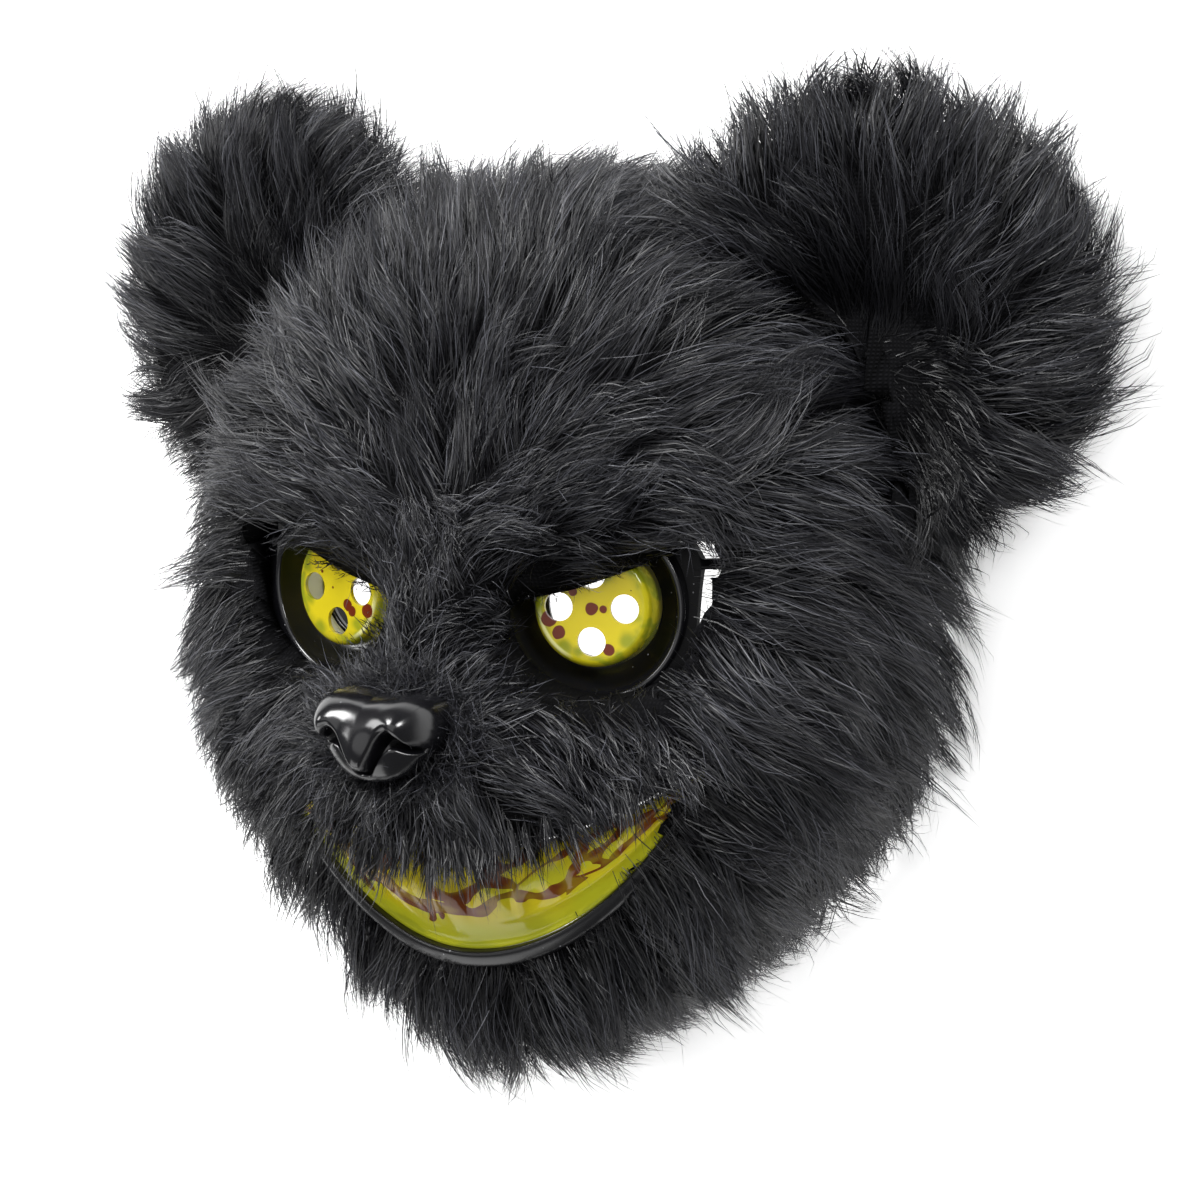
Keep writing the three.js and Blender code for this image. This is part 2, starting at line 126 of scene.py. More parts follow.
# %% Floor and lamps
FLOOR_HEIGHT, FLOOR_HALF = -0.0006, 5.0
FLOOR_COLOUR = (0.93, 0.93, 0.93, 1)
FLOOR_GLOW, TABLE_GLOW = 0.34, 1.5
TABLE_MIDDLE, TABLE_HALF = (0, -0.02, 0), (0.118, 0.118, 1)  # the bright part of the floor, in metres
ROOM_LIGHT = 0.16
# name, place in metres, watts, width in metres
LAMPS = [
    ("key", (-0.3, 0.9, 0.85), 19, 0.45),
    ("side", (0.95, 0.6, 0.7), 11, 0.35),
    ("top", (0.15, 0.3, 1.5), 9, 1.6),
    ("left", (-0.85, 0.3, 0.65), 7, 0.45),
    ("low", (-0.45, -1.0, 0.6), 6, 0.9),
]


def light_table_material():
    """Matt pale paper whose glow is stronger where it is lit from below."""
    material = bpy.data.materials.new("pale_paper")
    material.use_nodes = True
    new, link = material.node_tree.nodes.new, material.node_tree.links.new
    shader = material.node_tree.nodes["Principled BSDF"]
    shader.inputs["Base Color"].default_value = FLOOR_COLOUR
    shader.inputs["Roughness"].default_value = 0.9
    shader.inputs["Emission Color"].default_value = FLOOR_COLOUR
    placed = new("ShaderNodeMapping")
    placed.vector_type = "TEXTURE"
    placed.inputs["Location"].default_value = TABLE_MIDDLE
    placed.inputs["Scale"].default_value = TABLE_HALF
    link(new("ShaderNodeTexCoord").outputs["Object"], placed.inputs["Vector"])
    away = new("ShaderNodeVectorMath")
    away.operation = "LENGTH"
    link(placed.outputs["Vector"], away.inputs[0])
    lit = new("ShaderNodeMapRange")
    lit.interpolation_type = "SMOOTHSTEP"
    lit.inputs["From Min"].default_value = 0.95
    lit.inputs["From Max"].default_value = 1.08
    lit.inputs["To Min"].default_value = TABLE_GLOW
    lit.inputs["To Max"].default_value = FLOOR_GLOW
    link(away.outputs["Value"], lit.inputs["Value"])
    link(lit.outputs["Result"], shader.inputs["Emission Strength"])
    return material


def lay_floor():
    """One flat square under the mask."""
    signs = ((-1, -1), (1, -1), (1, 1), (-1, 1))
    corners = [(x * FLOOR_HALF, y * FLOOR_HALF, FLOOR_HEIGHT) for x, y in signs]
    mesh = bpy.data.meshes.new("floor")
    mesh.from_pydata(corners, [], [(0, 1, 2, 3)])
    mesh.materials.append(light_table_material())
    in_scene("floor", mesh)


def soft_lamp(name, place, energy, size):
    """A square lamp that faces the mask."""
    lamp = bpy.data.lights.new(name, "AREA")
    lamp.energy = energy
    lamp.size = size
    thing = in_scene(name, lamp)
    thing.location = place
    thing.rotation_euler = (Vector(place) - LOOK_AT).to_track_quat("Z", "Y").to_euler()


lay_floor()
world = bpy.data.worlds.new("room")
scene.world = world
world.use_nodes = True
world.node_tree.nodes["Background"].inputs["Color"].default_value = (1, 1, 1, 1)
world.node_tree.nodes["Background"].inputs["Strength"].default_value = ROOM_LIGHT
for lamp in LAMPS:
    soft_lamp(*lamp)
print("lamps:", ", ".join(f"{name} {watts} W" for name, _, watts, _ in LAMPS))

# %% [markdown]
# ## Reading the skin
#
# Fur follows the form under it, so it is planted on the frame's own solids. Only the faces that look away
# from the middle of the piece are skin: the lining, the rim and the cut edges of the openings aren't.
# Smoothing the skin takes the facets of the solid out, and averaging its normals lets the fur flow evenly.

# %% Read the outer skin of a solid
rng = np.random.default_rng(41)
HEAD_MIDDLE = Vector((0, -0.018, 0.015))
EYE_LINE = (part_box("eye_lens_right")[0].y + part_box("eye_lens_right")[1].y) / 2 / MM  # mm
ROOT_DEPTH = 8 * MM  # the hide lies this far under the surface of the fur
UNDERSIDE = 1 * MM  # what lies lower than this is the back rim, and no fur grows on it


def welded(node):
    """A bmesh of a frame node with its corners welded."""
    mesh = bmesh.new()
    mesh.from_mesh(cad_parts[node].data)
    bmesh.ops.remove_doubles(mesh, verts=mesh.verts, dist=0.02 * MM)
    mesh.normal_update()
    return mesh


def evened(mesh, verts, rounds):
    """Smooths some of a mesh's corners in as many rounds."""
    for _ in range(rounds):
        bmesh.ops.smooth_vert(
            mesh, verts=verts, factor=0.5, use_axis_x=True, use_axis_y=True, use_axis_z=True
        )


def outer_skin(node, is_skin, rounds):
    """Triangle corners (n, 3, 3) and their smooth normals, for the faces that is_skin keeps."""
    mesh = welded(node)
    hidden = [f for f in mesh.faces if not is_skin(f, f.calc_center_median())]
    bmesh.ops.delete(mesh, geom=hidden, context="FACES")
    evened(mesh, [v for v in mesh.verts if not v.is_boundary], rounds)
    bmesh.ops.triangulate(mesh, faces=mesh.faces)
    mesh.normal_update()
    places = np.array([v.co for v in mesh.verts])
    normals = np.array([v.normal for v in mesh.verts])
    corners = np.array([[v.index for v in f.verts] for f in mesh.faces])
    mesh.free()
    neighbours = np.zeros_like(normals)
    for _ in range(3):
        neighbours[:] = 0
        face_sum = normals[corners].sum(1)
        for k in range(3):
            np.add.at(neighbours, corners[:, k], face_sum)
        normals = neighbours / np.linalg.norm(neighbours, axis=1, keepdims=True)
    return places[corners], normals[corners]


def head_is_skin(face, centre):
    """True for the faces of the fur's outside, and not for its lining, rim or openings."""
    away = (centre - HEAD_MIDDLE).normalized()
    cut = abs(face.normal.z) < 0.03 and centre.z > 0.05
    return face.normal.dot(away) > 0.25 and not cut and centre.z > UNDERSIDE


HEAD_ROUNDS, EAR_ROUNDS = 3, 2  # of smoothing
head_corners, head_normals = outer_skin("fur_cover", head_is_skin, HEAD_ROUNDS)
print("head skin:", len(head_corners), "triangles")

# %% [markdown]
# ## The comb
#
# Fur is brushed: it parts at the furrow between the brows, sweeps back over the sides, fans down from the
# nose and falls over the upper lip. A short list of places says which way the fur lies there, how long it is
# and how far it stands off the skin. Everywhere else is a blend of the nearest places, so the brush strokes
# flow into each other. Each place is in millimetres in the frame, as the face is looked at from above, and
# the left side mirrors the right.

# %% Which way the fur lies
# place (x, y), direction (x, y), length in mm, lift in degrees
HEAD_COMB = [
    ((0, 40), (0, 1), 16, 24),
    ((0, 16), (0, 1), 14, 20),
    ((13, 28), (0.6, 0.8), 19, 26),
    ((38, 36), (0.93, 0.36), 24, 24),
    ((72, 46), (1, 0.12), 27, 22),
    ((28, 17), (0.93, 0.3), 10, 14),
    ((56, 25), (0.95, 0.2), 14, 16),
    ((0, 84), (0.12, 1), 27, 24),
    ((36, 78), (0.5, 0.86), 28, 24),
    ((0, 122), (0.05, 1), 27, 30),
    ((46, 112), (0.4, 0.9), 27, 28),
    ((88, 70), (0.85, 0.52), 30, 17),
    ((64, 96), (0.6, 0.8), 30, 20),
    ((110, 30), (0.93, -0.35), 29, 24),
    ((116, -12), (0.75, -0.66), 29, 24),
    ((82, -14), (0.85, -0.52), 27, 20),
    ((52, -32), (0.75, -0.62), 19, 20),
    ((0, -4), (0, 1), 9, 20),
    ((15, 4), (0.45, 0.9), 9, 18),
    ((27, -26), (0.93, 0.2), 10, 20),
    ((0, -15), (0.1, 1), 8, 24),
    ((46, -44), (0.85, -0.52), 18, 20),
    ((0, -52), (0, -1), 13, 22),
    ((20, -54), (0.5, -0.86), 15, 22),
    ((0, -66), (0, -1), 15, 16),
    ((30, -62), (0.42, -0.9), 15, 14),
    ((56, -50), (0.5, -0.87), 17, 13),
    ((76, -34), (0.75, -0.66), 18, 15),
    ((100, -40), (0.7, -0.7), 28, 22),
    ((84, -72), (0.62, -0.78), 28, 22),
    ((62, -96), (0.5, -0.86), 28, 22),
    ((0, -114), (0, -1), 20, 14),
    ((32, -108), (0.32, -0.95), 22, 14),
    ((0, -140), (0, -1), 28, 28),
    ((46, -122), (0.42, -0.9), 29, 26),
]
COMB_REACH = 17.0  # mm: how far a place of the comb is felt
FLOWING, SHORT, LONG = 1.22, 18.0, 26.0  # fur from SHORT to LONG mm grows by up to this factor


def combed(places, comb):
    """For (n, 2) places in mm: (n, 2) directions, and (n,) lengths and lifts, blended from the comb."""
    side = np.sign(places[:, :1]) + (places[:, :1] == 0)
    folded = np.column_stack([np.abs(places[:, 0]), places[:, 1]])
    at = np.array([row[0] for row in comb], float)
    way = np.array([row[1] for row in comb], float)
    rest = np.array([row[2:] for row in comb], float)
    away = ((folded[:, None, :] - at[None]) ** 2).sum(2)
    nearest = away.min(1, keepdims=True)
    weight = np.exp(-(away - nearest) / (2 * COMB_REACH**2))
    weight /= weight.sum(1, keepdims=True)
    direction = weight @ way
    direction[:, :1] *= side
    direction /= np.linalg.norm(direction, axis=1, keepdims=True) + 1e-9
    values = weight @ rest
    return direction, values[:, 0], values[:, 1]


def unit(vectors):
    """Each row at length one."""
    return vectors / (np.linalg.norm(vectors, axis=1, keepdims=True) + 1e-12)


def along_skin(points, normals, direction):
    """Turns directions of the flat view into directions along the skin, which run back at the sides."""
    spoke = unit(np.column_stack([points[:, :2] - np.array(HEAD_MIDDLE)[:2], np.zeros(len(points))]))
    outward = (direction * spoke[:, :2]).sum(1, keepdims=True)
    around = direction[:, 1:] * spoke[:, :1] - direction[:, :1] * spoke[:, 1:2]
    rise = normals[:, 2:3]
    lean = (normals * spoke).sum(1, keepdims=True)
    down = rise * spoke - lean * np.array([[0, 0, 1.0]])
    down = unit(down - (down * normals).sum(1, keepdims=True) * normals)
    turn = np.cross(normals, down)
    return unit(outward * down + around * turn)


# %% [markdown]
# ## Strands
#
# Particle hair would be quick to make, but the finished model keeps only meshes, so each strand is a thin
# ribbon of three squares and a pointed tip. Real fur lies in locks. A lock is one guide line, and its strands
# start round it, draw together towards its tip and each go astray a little. Neighbouring locks bend alike,
# because a slow wave runs through the whole coat, and small locks lean on the nearest large one. All of it is
# done on whole arrays at once, because a loop over a hundred thousand strands would take minutes.

# %% Grow locks of fur
SEGMENTS = 4
STEPS = np.linspace(0, 1, SEGMENTS + 1)
TAPER = np.array([0.75, 1.0, 0.9, 0.6])  # the ribbon's width at each step before the tip
FLOOR_CLEAR = 1.0 * MM
PROUD_MOST = 16.0 * MM  # no tip stands further out of the frame's box than this
LOOSE_SHARE, LOOSER = 0.13, 3.4  # the share of strands that leave their lock, and how much more they stray
TUFT_SHARE, TUFT_LONGER = 0.15, 0.42  # the share of locks that are longer than the rest, and by how much
LARGE_SHARE, LARGE_PULL = 0.12, 0.58  # the share of large locks, and how far the others lean on them
LOCK_SPREAD, LOCK_GATHER, LOCK_ASTRAY = 2.6 * MM, 0.62, 1.0 * MM
PER_LOCK = 11


def plant(corners, normals, count, weight=None):
    """Random points on a skin, more on larger and heavier triangles: (points, normals)."""
    edge_a = corners[:, 1] - corners[:, 0]
    edge_b = corners[:, 2] - corners[:, 0]
    area = np.linalg.norm(np.cross(edge_a, edge_b), axis=1)
    if weight is not None:
        area = area * weight(corners.mean(1))
    chosen = rng.choice(len(corners), count, p=area / area.sum())
    u, v = rng.random((2, count, 1))
    fold = (u + v) > 1
    u, v = np.where(fold, 1 - u, u), np.where(fold, 1 - v, v)
    mix = np.stack([1 - u - v, u, v], 1)
    return (corners[chosen] * mix).sum(1), unit((normals[chosen] * mix).sum(1))


def turned_about(vectors, axes, angles):
    """Rotates each vector about its own axis."""
    c, s = np.cos(angles)[:, None], np.sin(angles)[:, None]
    dot = (vectors * axes).sum(1, keepdims=True)
    return vectors * c + np.cross(axes, vectors) * s + axes * dot * (1 - c)


def slow_wave(points, length, seed):
    """A smooth random value from about -1 to 1 for each point, which changes over the stated length."""
    own = np.random.default_rng(seed)
    total = np.zeros(len(points))
    for _ in range(5):
        way = own.normal(size=3)
        way *= 2 * np.pi / (length * np.linalg.norm(way))
        total += np.sin(points @ way + own.uniform(0, 2 * np.pi))
    return total / 2.2


def lock_lines(roots, normals, flow, lengths, lifts, mess, sag, depth=ROOT_DEPTH):
    """The guide line of each lock, (n, SEGMENTS + 1, 3). It leaves the skin at its lift and bends back."""
    count = len(roots)
    turn = 0.26 * slow_wave(roots, 34 * MM, 5) + 0.16 * slow_wave(roots, 13 * MM, 6)
    flow = turned_about(flow, normals, mess * (turn + rng.normal(0, 0.13, count)))
    lifts = np.radians(lifts * (1 + 0.3 * slow_wave(roots, 16 * MM, 7)) + rng.normal(0, 6 * mess, count))
    tufts = 0.96 + TUFT_LONGER * (rng.random(count) < TUFT_SHARE)
    lengths = lengths * tufts * rng.uniform(0.82, 1.15, count) * MM
    bend = (0.3 * slow_wave(roots, 24 * MM, 8) + rng.normal(0, 0.22, count))[:, None] * mess
    sideways = np.cross(normals, flow)
    line = np.empty((count, SEGMENTS + 1, 3))
    line[:, 0] = roots - normals * depth
    for k in range(SEGMENTS):
        t = (k + 0.5) / SEGMENTS
        lift = (lifts + 0.34 - 0.8 * t)[:, None]
        step = flow * np.cos(lift) + normals * np.sin(lift) + sideways * bend * (1.9 * t - 0.5)
        step[:, 1] -= sag * t
        line[:, k + 1] = line[:, k] + unit(step) * (lengths / SEGMENTS)[:, None]
    return line


def leaned_on_large(lines):
    """Draws the tips of small locks towards the nearest large lock's."""
    large = rng.choice(len(lines), int(len(lines) * LARGE_SHARE), replace=False)
    tree = KDTree(len(large))
    for k, index in enumerate(large):
        tree.insert(lines[index, 1], k)
    tree.balance()
    nearest = large[[tree.find(place)[1] for place in lines[:, 1]]]
    gap = lines[nearest] - lines
    return lines + gap * LARGE_PULL * STEPS[None, :, None] ** 1.5


def held_in(points):
    """Keeps fur above the floor and near the frame's box: a strand that would leave it bends back evenly."""
    low = np.array(cad_low) - PROUD_MOST
    high = np.array(cad_high) + PROUD_MOST
    low[2] = FLOOR_CLEAR
    tip = points[:, -1:]
    bent = points + (np.clip(tip, low, high) - tip) * STEPS[None, :, None]
    return np.clip(bent, low, high)


def strands_of(lines, normals, flow, per_lock, spread, gather, astray):
    """Strands round the guide lines: points (m, SEGMENTS + 1, 3), normals, lock numbers and strays."""
    lock = np.repeat(np.arange(len(lines)), per_lock)
    count = len(lock)
    sideways = np.cross(normals, flow)[lock]
    root = lines[lock, :1]
    offset = sideways * rng.normal(0, spread, (count, 1))
    offset = offset + flow[lock] * rng.normal(0, spread * 1.3, (count, 1))
    share = rng.uniform(0.66, 1.1, (count, 1, 1))
    tight = (gather * rng.uniform(0.75, 1.25, len(lines)))[lock][:, None, None]
    close = 1 - tight * STEPS[None, :, None] ** 1.1
    stray = rng.random(count) < LOOSE_SHARE
    loose = np.where(stray, LOOSER, 1.0)[:, None, None]
    wander = loose * rng.normal(0, astray, (count, 1, 3)) * STEPS[None, :, None] ** 1.5
    phase = rng.random((count, 1)) * 2 * np.pi
    swing = loose[:, :, 0] * rng.normal(0, 0.4 * MM, (count, 1))
    wave = (swing * np.sin(phase + 6.5 * STEPS[None]) * STEPS[None])[:, :, None] * sideways[:, None]
    points = root + share * (lines[lock] - root) + offset[:, None] * close + wander + wave
    return held_in(points), normals[lock], lock, stray


def ribbon_mesh(name, points, normals, turns, widths, tones, material):
    """One object of flat ribbons. Both maps of a strand run from root to tip at the place of its tone."""
    count = len(points)
    ahead = np.empty_like(points)
    ahead[:, 1:-1] = points[:, 2:] - points[:, :-2]
    ahead[:, 0] = points[:, 1] - points[:, 0]
    ahead[:, -1] = points[:, -1] - points[:, -2]
    facing = turned_about(normals, unit(points[:, -1] - points[:, 0]), turns)
    side = np.cross(ahead, facing[:, None])
    side /= np.linalg.norm(side, axis=2, keepdims=True) + 1e-12
    half = 0.5 * widths[:, None, None] * TAPER[None, :, None]
    left = points[:, :-1] - side[:, :-1] * half
    right_side = points[:, :-1] + side[:, :-1] * half
    pairs = np.stack([left, right_side], 2).reshape(count, 2 * SEGMENTS, 3)
    vertices = np.concatenate([pairs, points[:, -1:]], 1)
    each = 2 * SEGMENTS + 1
    squares = [(2 * k, 2 * k + 1, 2 * k + 3, 2 * k + 2) for k in range(SEGMENTS - 1)]
    tip = (2 * SEGMENTS - 2, 2 * SEGMENTS - 1, 2 * SEGMENTS)
    loops = np.array([*sum(squares, ()), *tip])
    starts = 4 * np.arange(SEGMENTS)
    index = (loops[None] + each * np.arange(count)[:, None]).ravel()
    first = (starts[None] + len(loops) * np.arange(count)[:, None]).ravel()
    mesh = bpy.data.meshes.new(name)
    mesh.vertices.add(count * each)
    mesh.vertices.foreach_set("co", vertices.astype(np.float32).ravel())
    mesh.loops.add(len(index))
    mesh.loops.foreach_set("vertex_index", index.astype(np.int32))
    mesh.polygons.add(len(first))
    mesh.polygons.foreach_set("loop_start", first.astype(np.int32))
    mesh.polygons.foreach_set("use_smooth", np.ones(len(first), bool))
    mesh.update(calc_edges=True)
    across = np.array([-1.0, 1.0] * SEGMENTS + [0.0]) * 0.004
    along = np.array([*np.repeat(STEPS[:-1], 2), 1.0])
    u = 0.01 + 0.98 * tones[:, None] + across[None]
    v = np.broadcast_to(0.01 + 0.98 * along, u.shape)
    uv = np.stack([u, v], 2)[:, loops].reshape(-1, 2).astype(np.float32)
    for layer in ("strand", "OFBake"):
        mesh.uv_layers.new(name=layer).data.foreach_set("uv", uv.ravel())
    mesh.materials.append(material)
    return in_scene(name, mesh)


# %% [markdown]
# ## Node helpers
#
# Every finish here is made of shader nodes. These few helpers add a node, feed it and hand on its result, so
# that a material reads from top to bottom like a sum.


# %% Node helpers
def node_material(name):
    """A new material with its nodes, its links and its shader."""
    material = bpy.data.materials.new(name)
    material.use_nodes = True
    tree = material.node_tree
    return material, tree.nodes.new, tree.links.new, tree.nodes["Principled BSDF"]


def mixed(new, link, factor, first, second, blend="MIX"):
    """A colour mix. Each of factor, first and second is a socket or a plain value."""
    node = new("ShaderNodeMix")
    node.data_type = "RGBA"
    node.blend_type = blend
    for socket, value in (("Factor", factor), ("A", first), ("B", second)):
        if isinstance(value, bpy.types.NodeSocket):
            link(value, node.inputs[socket])
        elif socket == "Factor":
            node.inputs[socket].default_value = value
        else:
            node.inputs[socket].default_value = (*value, 1)
    return node.outputs["Result"]


def calculated(new, link, operation, *values):
    """A math node. Each value is a socket or a number."""
    node = new("ShaderNodeMath")
    node.operation = operation
    for socket, value in zip(node.inputs, values):
        if isinstance(value, bpy.types.NodeSocket):
            link(value, socket)
        else:
            socket.default_value = value
    return node.outputs[0]


def ramped(new, link, value, low, high, top=1.0, bottom=0.0):
    """Maps a value that runs from low to high onto bottom to top, and holds it there beyond them."""
    node = new("ShaderNodeMapRange")
    node.interpolation_type = "SMOOTHSTEP"
    for socket, number in (("From Min", low), ("From Max", high), ("To Min", bottom), ("To Max", top)):
        node.inputs[socket].default_value = number
    link(value, node.inputs["Value"])
    return node.outputs["Result"]


def noise_at(new, link, coords, scale, detail=2.0):
    """Plain noise between 0 and 1."""
    node = new("ShaderNodeTexNoise")
    node.inputs["Scale"].default_value = scale
    node.inputs["Detail"].default_value = detail
    link(coords, node.inputs["Vector"])
    return node.outputs["Fac"]


# %% [markdown]
# ## The fibre
#
# Faux fur is acrylic: smooth black fibres that catch a cool grey light. A strand is darkest at its root,
# where little light gets in, and some fibres are greyer than others. A strand's tone is its place across the
# map, and its length runs up the map.


# %% The fibre's material
# tone from 0 to 1, and its colour
FIBRE_TONES = [
    (0.0, (0.0022, 0.0022, 0.003, 1)),
    (0.72, (0.0115, 0.0117, 0.0148, 1)),
    (1.0, (0.085, 0.087, 0.102, 1)),
]
ROOT_SHADE, SHADE_ENDS = 0.25, 0.55  # the root's share of the colour, and where along the strand it is full


def fibre_material():
    """Smooth acrylic fibre, read from each strand's own map: tone across, root to tip along."""
    material, new, link, shader = node_material("black_fibre")
    where = new("ShaderNodeUVMap")
    where.uv_map = "strand"
    split = new("ShaderNodeSeparateXYZ")
    link(where.outputs["UV"], split.inputs[0])
    tone = new("ShaderNodeValToRGB")
    stops = tone.color_ramp.elements
    stops.new(FIBRE_TONES[1][0])
    for stop, (position, colour) in zip(stops, FIBRE_TONES):
        stop.position, stop.color = position, colour
    link(split.outputs["X"], tone.inputs["Fac"])
    root_shade = new("ShaderNodeMapRange")
    root_shade.inputs["From Max"].default_value = SHADE_ENDS
    root_shade.inputs["To Min"].default_value = ROOT_SHADE
    link(split.outputs["Y"], root_shade.inputs["Value"])
    shaded = mixed(new, link, 1.0, tone.outputs["Color"], root_shade.outputs["Result"], "MULTIPLY")
    link(shaded, shader.inputs["Base Color"])
    shader.inputs["Roughness"].default_value = 0.4
    shader.inputs["Specular IOR Level"].default_value = 0.34
    return material


fibre = fibre_material()

# %% [markdown]
# ## Where the fur makes room
#
# Round the nose and below the lip the pile is shorn, so that the glossy parts stand clear of it. The roots
# sink there, and the hide under them sinks alike. The lip runs along two curves, which the fur, the lip and
# the grin all follow, so they are written here, where they are first needed.

# %% The mouth's curves, and the fur's dips
MOUTH = {"half": 84.0, "corner": -40.0, "upper": -75.0, "lower": -107.0}  # mm
NOSE_Y = -34.0  # mm
NOSE_DIP = {"half": (19.6, 12.7), "deep": 3.0, "over": 4.0}  # mm
LIP_DIP = {"middle": 6.0, "corner": 15.0, "over": 11.0}  # mm


def lower_edge(share):
    """The lower lip's height. Share runs from -1 at the left corner to 1 at the right one."""
    return MOUTH["lower"] + (MOUTH["corner"] - MOUTH["lower"]) * np.abs(share) ** 2.1


def upper_edge(share):
    """The upper lip's height."""
    return MOUTH["upper"] + (MOUTH["corner"] - MOUTH["upper"]) * np.abs(share) ** 1.8


def dipped(roots):
    """Lets roots beside the nose and below the mouth sink, most of all at the mouth's corners."""
    x, y = np.abs(roots[:, 0]) / MM, roots[:, 1] / MM - EYE_LINE
    half_x, half_y = NOSE_DIP["half"]
    beside = np.maximum(np.hypot(x / half_x, (y - NOSE_Y) / half_y) - 1, 0) * half_y
    nose_dip = NOSE_DIP["deep"] * np.exp(-((beside / NOSE_DIP["over"]) ** 2))
    share = np.linspace(0, 1, 40)
    away = np.hypot(x[:, None] - MOUTH["half"] * share, y[:, None] - lower_edge(share))
    nearest = share[away.argmin(1)]
    under = np.clip((lower_edge(nearest) + 4 - y) / 4, 0, 1)
    over = np.clip((y - upper_edge(np.minimum(x / MOUTH["half"], 1))) / 2, 0, 1)
    at_corner = np.clip((nearest - 0.8) / 0.2, 0, 1) * (1 - 0.85 * over)
    deep = LIP_DIP["middle"] + (LIP_DIP["corner"] - LIP_DIP["middle"]) * nearest
    lip_dip = deep * np.maximum(under, at_corner) * np.exp(-((away.min(1) / LIP_DIP["over"]) ** 2))
    sunk = roots.copy()
    sunk[:, 2] -= np.maximum(nose_dip, lip_dip) * MM
    return sunk


# %% [markdown]
# ## The coat
#
# The head's fur is planted all at once, so that its locks flow over the borders of the pieces, and is then
# shared out in four pieces that each stay light enough. Beside it come a fringe on the cut edges of the
# openings, a collar of short curly hairs round the nose, and the fur of the ears.

# %% Fur of the head
HEAD_STRANDS = 82000
REGIONS = {
    "fur_forehead": lambda p: p[:, 1] > 0.045,
    "fur_chin": lambda p: p[:, 1] < -0.06,
    "fur_right": lambda p: p[:, 0] >= 0,
    "fur_left": lambda p: p[:, 0] < 0,
}


def near_corner(roots):
    """One at the corners of the mouth, and zero away from them."""
    x, y = np.abs(roots[:, 0]) / MM, roots[:, 1] / MM - EYE_LINE
    return np.exp(-(((x - 78) / 16) ** 2) - ((y + 52) / 20) ** 2)


def furrow_weight(places):
    """More fur in the furrow between the brows, where it parts."""
    x, y = places[:, 0] / MM, places[:, 1] / MM - EYE_LINE
    return 1 + 1.6 * np.exp(-((x / 13) ** 2) - ((y - 16) / 26) ** 2)


def by_far_eye(roots):
    """One on the far side of the nose's bridge, whose fur would hide the far lens, and zero away from it."""
    x, y = roots[:, 0] / MM, roots[:, 1] / MM - EYE_LINE
    return np.exp(-(((x + 19) / 12) ** 2) - ((y + 4) / 20) ** 2)


def grow_head():
    """Every strand of the head."""
    count = HEAD_STRANDS // PER_LOCK
    roots, normals = plant(head_corners, head_normals, count, furrow_weight)
    way, lengths, lifts = combed(roots[:, :2] / MM, HEAD_COMB)
    flow = along_skin(roots, normals, way)
    lengths *= 1 + (FLOWING - 1) * np.clip((lengths - SHORT) / (LONG - SHORT), 0, 1)
    short = (1 - 0.5 * near_corner(roots)) * (1 - 0.45 * by_far_eye(roots))
    lines = lock_lines(dipped(roots), normals, flow, lengths * short, lifts * short, 1.0, 0.16)
    lines = leaned_on_large(lines)
    return strands_of(lines, normals, flow, PER_LOCK, LOCK_SPREAD, LOCK_GATHER, LOCK_ASTRAY)


def add_fur(name, points, normals, lock, stray, shade=1.0):
    """A piece of fur, riding on the mask. Shade darkens its tones as painted shade, and strays are thin and
    painted lighter, a painted highlight.
    """
    count = len(points)
    widths = rng.uniform(0.22, 0.38, count) * np.where(stray, 0.7, 1.0) * MM
    lock_tone = rng.random(lock.max() + 1)[lock]
    mixed_tones = 0.5 * lock_tone + 0.45 * rng.random(count)
    # Strays get light tones: a painted highlight that stands in for the light loose fibres catch.
    tones = np.clip(np.where(stray, rng.uniform(0.8, 1.0, count), mixed_tones) * shade, 0, 1)
    turns = (rng.normal(0, 0.5, lock.max() + 1))[lock] + rng.normal(0, 0.45, count)
    thing = ribbon_mesh(name, points, normals, turns, widths, tones, fibre)
    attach(thing, "root")
    triangles = count * (2 * SEGMENTS - 1)
    print(name, count, "strands,", triangles, "triangles")
    return thing


head_fur = grow_head()
head_roots = head_fur[0][:, 0]
left_over = np.ones(len(head_roots), bool)
for name, in_region in REGIONS.items():
    mine = in_region(head_roots) & left_over
    left_over &= ~mine
    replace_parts(add_fur(name, *(values[mine] for values in head_fur)), "fur_cover")

# %% Fur round the openings
EDGE_STRANDS = 9800
NOSE_ZONE = (23.0, -50.0, -14.0)  # mm: half width, and from where to where
EYE_X = 44.0  # mm from the middle of the face to an eye's middle
# Painted shade: the fringe inside the openings is darkened to stand in for the shade there.
FRINGE_PAINTED_SHADE = 0.75  # the fringe is darker than the rest


def edge_is_wall(face, centre):
    """True for the cut walls of the eye and mouth openings."""
    half, low, high = (v * MM for v in NOSE_ZONE)
    at_nose = abs(centre.x) < half and low < centre.y < high
    return abs(face.normal.z) < 0.03 and centre.z > 0.06 and not at_nose


